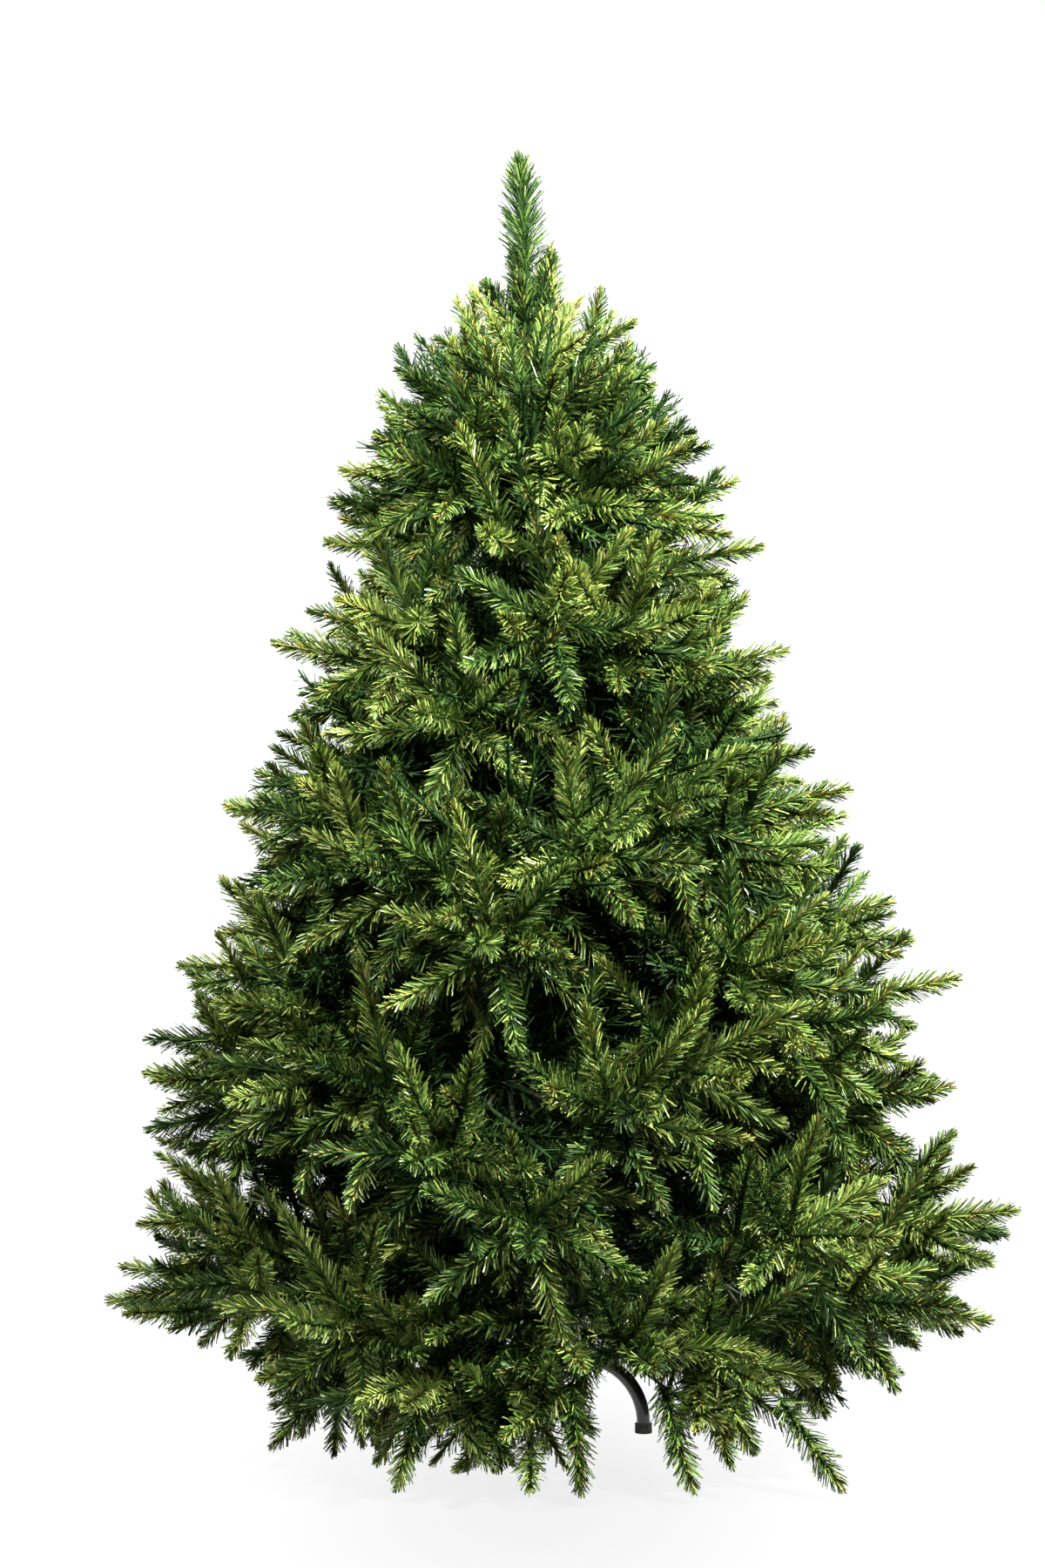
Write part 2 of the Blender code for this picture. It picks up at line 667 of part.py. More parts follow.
def make_crown(parts, pieces, finish):
    for level, tier in enumerate(TIERS):
        for number in range(tier.masses):
            name = f"needles_{tier.name}_{number + 1}"
            make_mass(level, number, name, parts, pieces, finish)
    make_leader(parts, pieces, finish)


def main():
    clear_scene()
    parts = new_collection("christmas_tree")
    cutters = new_collection("cutters", hidden=True)
    pieces = new_collection("mass_pieces", hidden=True)
    pole_paint = material("pole_paint", (0.045, 0.085, 0.040), 0.45)
    black_paint = material("black_paint", (0.012, 0.012, 0.013), 0.30)
    black_rubber = material("black_rubber", (0.020, 0.020, 0.020), 0.80)
    zinc = material("zinc", (0.55, 0.56, 0.58), 0.35, 1.0)
    wrapped_wire = material("wrapped_wire", (0.075, 0.080, 0.035), 0.70)
    needles = material("needles", (0.065, 0.165, 0.035), 0.45)
    turned("pole", pole_profile(), POLE_SIDES, parts, pole_paint)
    make_stand(parts, cutters, black_paint, black_rubber, zinc)
    make_boughs(parts, wrapped_wire)
    make_crown(parts, pieces, needles)
    bpy.data.collections.remove(pieces)


main()
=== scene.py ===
"""The looks of an artificial Christmas tree on its steel stand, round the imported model.

Metres, +Z up, the pole on the Z axis, front towards -Y. The crown grows by the same rule as the
model's masses: tiers of boughs, twigs that fan out from each bough's tip to the crown's outline,
and whorls along the twigs. Here each twig ends in a star of needle tips, and each tip carries its
own needles, cut as narrow strips."""

import math
import random
from collections import namedtuple
from contextlib import contextmanager

import bmesh
import bpy
import numpy as np
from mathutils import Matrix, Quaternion, Vector

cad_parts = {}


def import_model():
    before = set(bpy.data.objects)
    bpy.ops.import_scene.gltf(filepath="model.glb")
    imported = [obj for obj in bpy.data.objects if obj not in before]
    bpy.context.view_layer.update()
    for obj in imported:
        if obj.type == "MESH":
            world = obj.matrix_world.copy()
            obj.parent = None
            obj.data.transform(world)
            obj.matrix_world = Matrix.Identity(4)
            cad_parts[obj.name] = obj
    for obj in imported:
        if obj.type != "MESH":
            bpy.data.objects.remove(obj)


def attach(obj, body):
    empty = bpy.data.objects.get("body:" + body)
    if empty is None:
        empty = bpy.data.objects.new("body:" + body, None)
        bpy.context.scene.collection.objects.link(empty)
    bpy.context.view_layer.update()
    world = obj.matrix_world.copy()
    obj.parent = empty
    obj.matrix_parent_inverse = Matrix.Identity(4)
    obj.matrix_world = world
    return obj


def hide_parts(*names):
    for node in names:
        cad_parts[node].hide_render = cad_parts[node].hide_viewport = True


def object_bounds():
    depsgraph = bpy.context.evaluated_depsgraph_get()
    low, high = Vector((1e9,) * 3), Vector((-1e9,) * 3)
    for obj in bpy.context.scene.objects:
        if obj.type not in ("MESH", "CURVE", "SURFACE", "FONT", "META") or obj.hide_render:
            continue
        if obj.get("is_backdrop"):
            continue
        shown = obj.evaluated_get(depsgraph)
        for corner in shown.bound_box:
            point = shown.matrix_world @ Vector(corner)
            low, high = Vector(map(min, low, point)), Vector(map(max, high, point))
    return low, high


ROOT = "root"  # the body that every piece rides on

# --- the crown's rule, as modelled, but for a finer point at (0.17, 0.50) on the left
GAP = 0.0003
SEED = 11
COLLAR_RADIUS = 0.030
REACH_RIGHT = (
    (0.03, 0.46), (0.12, 0.59), (0.20, 0.77), (0.38, 0.81), (0.46, 0.72), (0.68, 0.64),
    (0.78, 0.70), (0.84, 0.60), (0.91, 0.60), (1.06, 0.53), (1.16, 0.42), (1.33, 0.43),
    (1.42, 0.34), (1.49, 0.38), (1.59, 0.34), (1.66, 0.25), (1.81, 0.21), (1.88, 0.14),
)
REACH_LEFT = (
    (0.03, 0.38), (0.10, 0.42), (0.17, 0.50), (0.20, 0.72), (0.38, 0.66), (0.62, 0.64),
    (0.72, 0.57), (1.05, 0.52), (1.14, 0.41), (1.22, 0.37), (1.31, 0.44), (1.40, 0.34),
    (1.49, 0.36), (1.66, 0.30), (1.80, 0.22), (1.90, 0.18),
)
REACH_AHEAD = (
    (0.03, 0.68), (0.20, 0.74), (0.38, 0.74), (0.60, 0.66), (0.80, 0.64), (1.06, 0.53),
    (1.30, 0.44), (1.50, 0.38), (1.70, 0.27), (1.88, 0.16),
)
Tier = namedtuple("Tier", "name collar masses twigs bough lift spray phase")
TIERS = (
    Tier("skirt", 0.42, 6, 4, 0.24, -0.10, 0.260, -0.335),
    Tier("low", 0.69, 6, 4, 0.24, 0.06, 0.260, -0.300),
    Tier("middle", 0.99, 6, 3, 0.20, 0.12, 0.245, 0.0),
    Tier("high", 1.26, 6, 2, None, 0.22, 0.230, 0.0),
    Tier("upper", 1.53, 3, 4, None, 0.46, 0.190, 0.0),
)
FIRST_TURN = 22.0
EDGES = (  # between the tiers: height at the pole, rise for each metre out, step at each mass
    (0.015, 0.00, 0.0), (0.530, -0.20, 0.07), (0.840, -0.12, 0.08), (1.120, -0.02, 0.07),
    (1.380, 0.12, 0.0), (1.740, 0.70, 0.0),
)
SPREAD = (0.14, 0.86)  # how far down and up its tier a twig's tip may end
TIP_SCATTER = 0.03
RISE_SPREAD, RISE_SCATTER = 0.7, 0.06
FORK_FIRST, FORK_STEP = 0.016, 0.022  # where a mass's twigs leave its stem
TWIG_BEND, TWIG_THROW = 0.45, 0.12
GOLDEN_TURN = math.radians(137.5)
GOLDEN_SHARE = 0.618
BOUGH_RADII = (0.0085, 0.0060)
BOUGH_STUB, BOUGH_POINTS = 0.014, 4
BOUGH_BEND, BOUGH_END, BOUGH_DROP = 0.4, 0.6, 0.06
TREE_HEIGHT = 2.10
POLE_TOP = 1.750
LEADER_LEAN = -0.022
LEADER_SHOOTS = (  # foot and length as shares of the leader's, radius, tilt, azimuth
    (0.44, 0.56, 0.034, 0.00, 0.0), (0.14, 0.50, 0.040, 0.16, 150.0),
    (0.10, 0.54, 0.040, 0.30, 20.0), (0.06, 0.46, 0.040, 0.34, 250.0),
    (0.10, 0.44, 0.040, 0.36, 95.0), (0.04, 0.50, 0.040, 0.60, 185.0),
)

# --- pole and stand, as modelled
POLE_FOOT, POLE_WALL = 0.0075, 0.0012
POLE_TUBES = ((0.760, 0.0160), (1.400, 0.0140), (POLE_TOP, 0.0095))  # top height, radius
SLEEVE_HALF, SLEEVE_STEP = 0.020, 0.0022
COLLAR_HALF = 0.0130
SOCKET_BORE, SOCKET_OUTER, SOCKET_RING = 0.0172, 0.0195, 0.0290
SOCKET_BOTTOM, SOCKET_TOP = 0.0070, 0.195
LEG_HEIGHT, LEG_RADIUS, LEG_ARCH, LEG_REACH = 0.120, 0.0110, 0.103, 0.186
RING_HALF = 0.0160
LEG_TURN = -13.0
LEGS = ("right", "back", "left", "front")
SHOE_RADIUS, SHOE_BORE, SHOE_HEIGHT, SHOE_FLOOR = 0.0142, 0.0118, 0.0160, 0.0050
PLUG_FLANGE = 0.0265
SCREW_HEIGHT, SCREW_RADIUS = 0.172, 0.0030
SCREW_HEAD, SCREW_REACH, SCREW_HEAD_LENGTH = 0.0110, 0.052, 0.014

# --- finer shapes
SMOOTH_ANGLE = math.radians(35)
WELD = 1e-6  # points closer than this are merged
TURNED_STEPS, COLLAR_STEPS = 40, 48
FLANGE = 0.0040  # the thickness of a collar's flanges, over and under its slots
SLOT_HALF_TURN, SLOT_DEPTH = math.radians(11.5), 0.0100
PIN_RADIUS, PIN_LENGTH = 0.0250, 0.0125  # the pin's distance from the pole's axis, its length
PIN_THICK, PIN_HEAD = 0.0019, 0.0004
EYE_RADIUS, EYE_WIRE = 0.0040, 0.0019
SHANK_RADIUS, SHANK_LENGTH, SHANK_PLACE = 0.0024, 0.010, PIN_RADIUS + 0.0085
ALONG_X, ALONG_Y = (0, math.pi / 2, 0), (math.pi / 2, 0, 0)  # turns that lay a rod down
BOUGH_STEPS, BOUGH_SIDES = 40, 12
TAPE_RIDGE, TAPE_TURNS, TAPE_SINK = 0.10, 16, 0.008
NUT_RADIUS, NUT_HEIGHT = 0.0062, 0.0048
THREAD_PITCH, HEAD_FLUTES = 0.00125, 36
LEG_SIDES, LEG_STEPS = 24, 16
WELD_BEAD = 0.0016

# --- finer growth
TIP_LENGTH, TIP_RADIUS = 0.180, 0.0260
TIP_SIZES = (1.0, 0.88, 0.76, 0.64)  # tried in turn, until a tip keeps within the outline
LENGTH_SCATTER, RADIUS_SCATTER = (0.90, 1.18), (0.92, 1.05)
TIP_FORWARD, TIP_LIFT, TIP_WANDER = 0.10, (-0.03, 0.10), 0.06  # how a side tip bends
LEAD_LIFT, LEAD_SLACK = (-0.04, 0.06), 0.02  # how a leading tip bends and may pass the outline
STAR = 6  # side tips in the star at a twig's end
STAR_LEAN, STAR_SCATTER = math.radians(66), 0.14
STAR_STEP, STAR_TURN = 0.004, 0.15  # between its tips along the twig, and how uneven round it
BRANCH_FEET = (0.42, 0.76)  # where finer twigs leave a twig
BRANCH_LEAN, BRANCH_SCATTER = math.radians(44), 0.2
BRANCH_REACH = (0.60, 0.50)  # their length, as a share of what is left to the outline
BRANCH_STAR = 5
INNER_FEET = (0.24, 0.46, 0.70)  # where single tips stand on a twig
POLE_FEET = (0.04, 0.13, 0.22, 0.31, 0.40, 0.52, 0.70)  # and on one that starts at the pole
BOUGH_TIP_FEET = (0.15, 0.40, 0.65, 0.90)  # and on a bough
STEM_TIP_FEET = (0.10, 0.35, 0.60, 0.90)  # and on a mass's stem
INNER_LEAN, BOUGH_TIP_LEAN = math.radians(52), math.radians(74)
INNER_SIZE, BOUGH_TIP_SIZE = 1.1, 1.3
BOUGH_TIP_RING, BOUGH_TIP_TURN = 4, 0.7  # tips in each ring on a bough, and the turn between rings
# Tips that stand out of the crown's outline or close a gap in it: azimuth, height, distance from
# the pole and rise
FAR_TIPS = (
    (2, 1.566, 0.340, 0.35), (-4, 1.455, 0.380, 0.20), (3, 1.286, 0.425, 0.25),
    (-3, 1.056, 0.525, 0.20), (3, 0.870, 0.600, 0.25), (-2, 0.745, 0.705, 0.20),
    (-5, 0.570, 0.690, 0.25), (-8, 0.372, 0.795, 0.10), (-12, 0.200, 0.755, -0.10),
    (-24, 0.100, 0.630, -1.60), (178, 1.582, 0.320, 0.15), (184, 1.460, 0.345, 0.05),
    (181, 1.296, 0.430, 0.20), (178, 1.030, 0.512, 0.25), (183, 0.765, 0.585, 0.05),
    (186, 0.590, 0.640, 0.00), (190, 0.350, 0.650, -0.05), (188, 0.225, 0.700, 0.05),
    (-70, 0.016, 0.690, -1.10), (-54, 0.016, 0.780, -0.80), (-60, 0.030, 0.600, -1.30),
    (-84, 0.016, 0.670, -1.20), (-95, 0.040, 0.600, -1.00), (-108, 0.016, 0.660, -1.10),
    (-139, 0.030, 0.540, -0.90), (-103, 1.460, 0.350, 0.10),
)
FAR_STAR, FAR_LEAN = 3, 0.75 * STAR_LEAN
FAR_FEET = (0.35, 0.65)  # where single tips stand on a far tip's twig
FRINGE_GAP = (0.100, 0.200, 0.175)  # where the front fringe is open: from x, to x, below a height
TOP_TAPER, TAPER_FROM = 0.30, 1.70  # metres that the top draws in for each metre over a height
FLOOR_CLEARANCE, FLOOR_GAP = 0.022, 0.0005  # the least height of a tip's end and of a needle
STAR_NEEDLES, BRANCH_NEEDLES, INNER_NEEDLES, LEADER_NEEDLES = 275, 225, 75, 420  # on each tip
THINNING = ((0.45, 0.85), (0.45, 1.0))  # by how far out a tip ends, the share of needles it has
SHOOT_SLIM, SHOOT_SHORT = 0.65, 0.84  # radius and length of the leader's shoots, as shares
# The inner shade is painted shade: the darkest needles, for the tips deep in the crown where light
# hardly reaches
SHADES = ("inner", "deep", "green", "fresh", "light")
INNER, DEEP, GREEN, FRESH = range(4)
SHADE_SHARES = (0.0, 0.26, 0.35, 0.28, 0.11)
SHADE_SPREAD = 1.1  # how far, in shades, the needles of one tip differ
CORE_SHARES, CORE_RADII, CORE_SIDES = (0.0, 0.5, 1.0), (0.16, 0.22, 0.06), 4  # in tip radii

# --- needles and wires
NEEDLE_WIDTH, BRISTLE_WIDTH = 0.0026, 0.0026
NEEDLE_START, BRISTLE_START = 0.0, 0.50
BRISTLES = 48  # short golden needles along the outer part of a tip
BARE_SHARE = 0.4  # the share of the outer tips that have none; inner tips never have any
# By place along a tip: a needle's length in tip radii, and how far it leans from the tip's wire
NEEDLE_LENGTHS = ((0.0, 0.10, 0.60, 0.85, 1.0), (1.20, 1.50, 1.45, 1.10, 0.55))
NEEDLE_LEANS = ((0.0, 0.5, 0.85, 1.0), (0.95, 0.78, 0.62, 0.36))
BRISTLE_LENGTHS = ((0.0, 0.7, 1.0), (0.52, 0.60, 0.52))
BRISTLE_LEANS = ((0.0, 0.9, 1.0), (0.75, 0.60, 0.25))
NEEDLE_TURN_SCATTER, NEEDLE_LEAN_SCATTER = 0.35, 0.10
NEEDLE_LENGTH_SCATTER, NEEDLE_WIDTH_SCATTER = (0.82, 1.10), (0.8, 1.2)
NEEDLE_TWIST, NEEDLE_END = 0.6, 0.7  # the most twist, and the cut end's width as a share
TIP_WIRE = 0.0010  # the radius at which needles leave a tip's wire
STEM_RADII, STEM_STEPS, STEM_SIDES, STEM_RIDGE = (0.0070, 0.0046), 12, 8, 0.18
TWIG_RADII, BRANCH_RADII, FAR_RADII = (0.0040, 0.0026), (0.0028, 0.00182), (0.0028, 0.0018)
TWIG_SIDES, TWIG_RIDGE = 6, 0.25
TWIG_STEPS, LEAD_STEPS, FAR_STEPS = 20, 5, 8
ACROSS_TIPS, ACROSS_WIRES = (0.31, 0.52, 0.79), (0.13, 0.37, 0.92)  # ways that none runs along


# --- small helpers
def polar(radius, azimuth, height):
    return Vector((radius * math.cos(azimuth), radius * math.sin(azimuth), height))


def bent(start, control, end, share):
    """A point on the curve that leaves start towards control and comes to end."""
    return start.lerp(control, share).lerp(control.lerp(end, share), share)


def along(profile, height):
    """The value at a height in a list of (height, value), level past its ends."""
    if height <= profile[0][0]:
        return profile[0][1]
    for (low, at_low), (high, at_high) in zip(profile, profile[1:]):
        if height <= high:
            return at_low + (at_high - at_low) * (height - low) / (high - low)
    return profile[-1][1]


def seeded(*keys):
    """A random stream that belongs to one place on the tree, the same in every run."""
    number = SEED
    for key in keys:
        number = number * 131 + key
    return random.Random(number)


def linked(made):
    """Put a new object in the scene."""
    bpy.context.scene.collection.objects.link(made)
    return made


def dress(piece, material, replaced=()):
    """Give a piece its finish and put it on the tree, in place of the nodes it stands for."""
    piece.data.materials.clear()
    piece.data.materials.append(material)
    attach(piece, ROOT)
    if replaced:
        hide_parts(*replaced)
    return piece


def mesh_piece(name, points, faces):
    """A mesh piece from an array of points and an array of faces with as many corners each."""
    count, corners = faces.shape
    mesh = bpy.data.meshes.new(name)
    mesh.vertices.add(len(points))
    mesh.vertices.foreach_set("co", np.ascontiguousarray(points, np.float32).ravel())
    mesh.loops.add(faces.size)
    mesh.loops.foreach_set("vertex_index", np.ascontiguousarray(faces, np.int32).ravel())
    mesh.polygons.add(count)
    mesh.polygons.foreach_set("loop_start", np.arange(0, faces.size, corners, dtype=np.int32))
    mesh.polygons.foreach_set("loop_total", np.full(count, corners, dtype=np.int32))
    mesh.update(calc_edges=True)
    return linked(bpy.data.objects.new(name, mesh))


# --- the crown's rule
def reach(height, azimuth):
    """How far the needle tips stand from the pole at a height and azimuth."""
    right_share = 0.5 + 0.5 * math.cos(azimuth)
    left, ahead = along(REACH_LEFT, height), along(REACH_AHEAD, height)
    aside = left + (along(REACH_RIGHT, height) - left) * right_share
    return aside + (ahead - aside) * math.sin(azimuth) ** 2


def edge(index, radius, number):
    """The height of a surface between two tiers, at a distance from the pole, at a mass."""
    at_pole, rise, step = EDGES[index]
    return at_pole + rise * radius + (step if number % 2 else -step)


def between(level, share, radius, number):
    """The height at a share of the way from a tier's lower surface to its upper one."""
    below, above = edge(level, radius, number), edge(level + 1, radius, number)
    return below + share * (above - below)


def mass_azimuth(level, number):
    return math.radians(FIRST_TURN + number * 360.0 / TIERS[level].masses)


def mass_root(level, number):
    """Where a mass's stem starts, and its direction: at a bough's tip, or in a collar."""
    tier, azimuth = TIERS[level], mass_azimuth(level, number)
    if tier.bough is None:
        return polar(COLLAR_RADIUS + GAP, azimuth, tier.collar), polar(1, azimuth, 0)
    points = bough_line(level, number)
    heading = (points[-1] - points[-2]).normalized()
    return points[-1] + GAP * heading, heading


def bough_line(level, number, count=BOUGH_POINTS):
    """The points of a bough, level where it leaves the collar and then following its tier."""
    tier, azimuth = TIERS[level], mass_azimuth(level, number)
    root = polar(COLLAR_RADIUS + GAP, azimuth, tier.collar)
    start = polar(COLLAR_RADIUS + BOUGH_STUB, azimuth, tier.collar)
    control = polar(BOUGH_BEND * tier.bough, azimuth, tier.collar)
    height = max(between(level, BOUGH_END, tier.bough, number), tier.collar - BOUGH_DROP)
    end = polar(tier.bough, azimuth, height)
    shares = [i / (count - 1) for i in range(count)]
    return [root] + [bent(start, control, end, share) for share in shares]


Twig = namedtuple("Twig", "key foot control end heading")


def twigs_of(level, number):
    """The twigs that fan out from a mass's stem, their tips evenly scattered on the crown."""
    tier = TIERS[level]
    root, heading = mass_root(level, number)
    for index in range(tier.twigs):
        key = (level, number, index)
        chance = seeded(*key)
        order = GOLDEN_SHARE * (number * tier.twigs + index + 0.5) + tier.phase
        share = SPREAD[0] + (SPREAD[1] - SPREAD[0]) * (order % 1.0)
        aside = (2 * index + 1) / tier.twigs - 1
        azimuth = mass_azimuth(level, number) + math.pi / tier.masses * aside
        height, out = outline_place(level, number, share, azimuth)
        out *= chance.uniform(1 - TIP_SCATTER, 1)
        rise = tier.lift + RISE_SPREAD * (share - 0.5) + chance.uniform(-RISE_SCATTER, RISE_SCATTER)
        tip_heading = polar(1, azimuth, rise).normalized()
        end = polar(out, azimuth, height + 0.5 * rise * tier.spray) - tier.spray * tip_heading
        fork = root + (FORK_FIRST + index * FORK_STEP) * heading
        control = fork.lerp(end, TWIG_BEND) + TWIG_THROW * (end - fork).length * heading
        yield Twig(key, fork, control, end, tip_heading)


def outline_place(level, number, share, azimuth):
    """Where a tip at a share of its tier's height meets the crown's outline: height, reach."""
    height = TIERS[level].collar
    for _ in range(4):
        out = reach(height, azimuth)
        height = between(level, share, out, number)
    return height, out


# --- tips
Tip = namedtuple("Tip", "foot heading bend length radius needles shade bristles")


def on_tip(tip, share):
    """A place along a tip's wire."""
    return tip.foot + tip.length * (share * tip.heading + share**2 * tip.bend)


def on_twig(twig, share):
    """A place along a twig, and the way the twig heads there."""
    place = bent(twig.foot, twig.control, twig.end, share)
    further = bent(twig.foot, twig.control, twig.end, share + 0.05)
    return place, (further - place).normalized()


def leaning(heading, turn, lean):
    """The direction that leans away from a heading, to the side that a turn round it gives."""
    sideways = Quaternion(heading, turn) @ heading.orthogonal().normalized()
    return Quaternion(heading.cross(sideways), lean) @ heading


def spread_at(place):
    """How far a place is from the pole, and how far the crown reaches at its height."""
    return math.hypot(place.x, place.y), reach(place.z, math.atan2(place.y, place.x))


def kept_in(foot, heading, bend, chance, needles, slack=0.0):
    """A tip at the largest size that stays within the crown's reach, or None."""
    for size in TIP_SIZES:
        length = size * TIP_LENGTH * chance.uniform(*LENGTH_SCATTER)
        end = foot + length * (heading + bend)
        out, limit = spread_at(end)
        taper = TOP_TAPER * max(0.0, end.z - TAPER_FROM)
        if end.z < FLOOR_CLEARANCE or out > limit + slack - taper:
            continue
        radius = TIP_RADIUS * (0.4 + 0.6 * size) * chance.uniform(*RADIUS_SCATTER)
        shade = chance.choices(range(len(SHADES)), SHADE_SHARES)[0]
        return Tip(foot, heading, bend, length, radius, round(needles * size), shade, chance.random())
    return None


def side_tip(foot, heading, turn, lean, needles, chance):
    """A tip that leans out from a twig, bending a little forward along it and upwards."""
    outward = leaning(heading, turn, lean + chance.uniform(-STAR_SCATTER, STAR_SCATTER))
    bend = TIP_FORWARD * heading + Vector((0, 0, chance.uniform(*TIP_LIFT)))
    bend += Vector([chance.uniform(-TIP_WANDER, TIP_WANDER) for _ in range(3)])
    return kept_in(foot, outward, bend, chance, needles)


def inner_tip(foot, heading, turn, lean, size, chance):
    """A large, sparse side tip that fills the crown near the pole, its needles dark with painted shade.
    """
    tip = side_tip(foot, heading, turn, lean, INNER_NEEDLES, chance)
    if tip is None:
        return None
    return tip._replace(shade=INNER, bristles=0.0, length=size * tip.length, radius=size * tip.radius)


def star_tips(foot, heading, count, needles, chance):
    """The tip that leads a twig on, and the side tips close behind it."""
    lead_bend = Vector((0, 0, chance.uniform(*LEAD_LIFT)))
    yield kept_in(foot, heading, lead_bend, chance, needles, LEAD_SLACK)
    first = chance.uniform(0, math.tau)
    for index in range(count):
        turn = first + index * math.tau / count + chance.uniform(-STAR_TURN, STAR_TURN)
        yield side_tip(foot - STAR_STEP * index * heading, heading, turn, STAR_LEAN, needles, chance)


def branches_of(twig):
    """The finer twigs of a twig, as their lines and the way they head at their ends."""
    chance = seeded(*twig.key, 5)
    first = chance.uniform(0, math.tau)
    outline = twig.end + TIERS[twig.key[0]].spray * twig.heading
    for index, (foot_share, size) in enumerate(zip(BRANCH_FEET, BRANCH_REACH)):
        foot, ahead = on_twig(twig, foot_share)
        lean = BRANCH_LEAN + chance.uniform(-BRANCH_SCATTER, BRANCH_SCATTER)
        outward = leaning(ahead, first + index * GOLDEN_TURN, lean)
        length = max(0.02, size * (outline - foot).length - 0.7 * TIP_LENGTH)
        end = foot + length * outward
        heading = (outward + 0.5 * ahead + Vector((0, 0, 0.15))).normalized()
        yield [foot, foot.lerp(end, 0.5) + 0.04 * length * ahead, end], heading


def thinned(tip):
    """A tip with fewer needles the deeper in the crown it ends, behind the outer tips."""
    out, limit = spread_at(on_tip(tip, 1))
    share = float(np.interp(out / limit, *THINNING))
    return tip._replace(needles=round(share * tip.needles))


def in_fringe_gap(tip):
    """Whether a tip would hang where the fringe is open."""
    first, last, height = FRINGE_GAP
    places = [on_tip(tip, share) for share in (0.5, 1.0)]
    return any(first < place.x < last and place.y < 0 and place.z < height for place in places)


def far_tier(height):
    """The tier whose collar stands nearest to a height, the skirt for all that hangs low."""
    return min(range(len(TIERS)), key=lambda level: abs(TIERS[level].collar - height))


def far_branches(level, twigs):
    """Twigs that carry the far tips of a tier, each from the twig that ends nearest to it."""
    for index, (azimuth, height, out, rise) in enumerate(FAR_TIPS):
        if far_tier(height) != level:
            continue
        chance = seeded(index, 6)
        azimuth = math.radians(azimuth)
        heading = polar(1, azimuth, rise).normalized()
        foot = polar(out, azimuth, height) - 1.05 * TIP_LENGTH * heading
        twig = min(twigs, key=lambda twig: (twig.end - foot).length)
        start = bent(twig.foot, twig.control, twig.end, 0.7)
        ahead = (twig.end - start).normalized()
        control = start.lerp(foot, 0.5) + 0.15 * (foot - start).length * ahead
        line = [bent(start, control, foot, i / FAR_STEPS) for i in range(FAR_STEPS + 1)]
        # Far tips that hang near the floor take the darker green: painted shade on the low fringe
        shade = GREEN if height < TIP_LENGTH else FRESH
        tips = [Tip(foot, heading, Vector(), TIP_LENGTH, TIP_RADIUS, STAR_NEEDLES, shade, 0.9)]
        first = chance.uniform(0, math.tau)
        for number in range(FAR_STAR):
            turn = first + number * math.tau / FAR_STAR
            tips.append(side_tip(foot, heading, turn, FAR_LEAN, BRANCH_NEEDLES, chance))
        for share in FAR_FEET:
            turn = chance.uniform(0, math.tau)
            place = bent(start, control, foot, share)
            tips.append(side_tip(place, heading, turn, INNER_LEAN, BRANCH_NEEDLES, chance))
        yield line, tips


def growth(twig):
    """The lines of a twig and its finer twigs, and all their tips."""
    tier = TIERS[twig.key[0]]
    chance = seeded(*twig.key, 7)
    lead = (tier.spray - TIP_LENGTH) * twig.heading
    curve = [bent(twig.foot, twig.control, twig.end, i / TWIG_STEPS) for i in range(TWIG_STEPS + 1)]
    lines = [curve + [twig.end + lead * i / LEAD_STEPS for i in range(1, LEAD_STEPS + 1)]]
    tips = list(star_tips(twig.end + lead, twig.heading, STAR, STAR_NEEDLES, chance))
    for line, heading in branches_of(twig):
        lines.append(line)
        tips += star_tips(line[-1], heading, BRANCH_STAR, BRANCH_NEEDLES, chance)
    tips = [thinned(tip) for tip in tips if tip]
    for index, share in enumerate(INNER_FEET if tier.bough else POLE_FEET):
        foot, ahead = on_twig(twig, share)
        turn = index * GOLDEN_TURN + chance.uniform(0, 1)
        tips.append(inner_tip(foot, ahead, turn, INNER_LEAN, INNER_SIZE, chance))
    return lines, tips


def bough_tips(points, feet, key):
    """Single tips along a bough or a stem, round it, dark with painted shade."""
    chance = seeded(*key)
    for index, share in enumerate(feet):
        place = share * (len(points) - 1)
        start, end = points[int(place)], points[int(place) + 1]
        foot, ahead = start.lerp(end, place % 1), (end - start).normalized()
        for number in range(BOUGH_TIP_RING):
            turn = number * math.tau / BOUGH_TIP_RING + BOUGH_TIP_TURN * index
            yield inner_tip(foot, ahead, turn, BOUGH_TIP_LEAN, BOUGH_TIP_SIZE, chance)


def leader_tips():
    """The upright tip on the pole's top, and the shoots round it."""
    root = Vector((0, 0, POLE_TOP + GAP))
    top = Vector((LEADER_LEAN, 0, TREE_HEIGHT))
    lean, length = (top - root).normalized(), (top - root).length
    for share, size, radius, tilt, azimuth in LEADER_SHOOTS:
        foot = root + share * length * lean
        heading = (lean + tilt * polar(1, math.radians(azimuth), 0)).normalized()
        long, needles = size * length - 0.010, round(LEADER_NEEDLES * size / 0.5)
        rise, bristles = 0.0, 0.0
        if tilt:
            long, radius, rise, bristles = SHOOT_SHORT * long, SHOOT_SLIM * radius, 0.04, 0.9
        # The leader's needles take the deep shade, darker than the crown's, as painted shade that evens
        # out the stronger lamp light at the top
        yield Tip(foot, heading, Vector((0, 0, rise)), long, radius, needles, DEEP, bristles)


# --- needles
def unit(vectors):
    return vectors / np.linalg.norm(vectors, axis=1, keepdims=True)


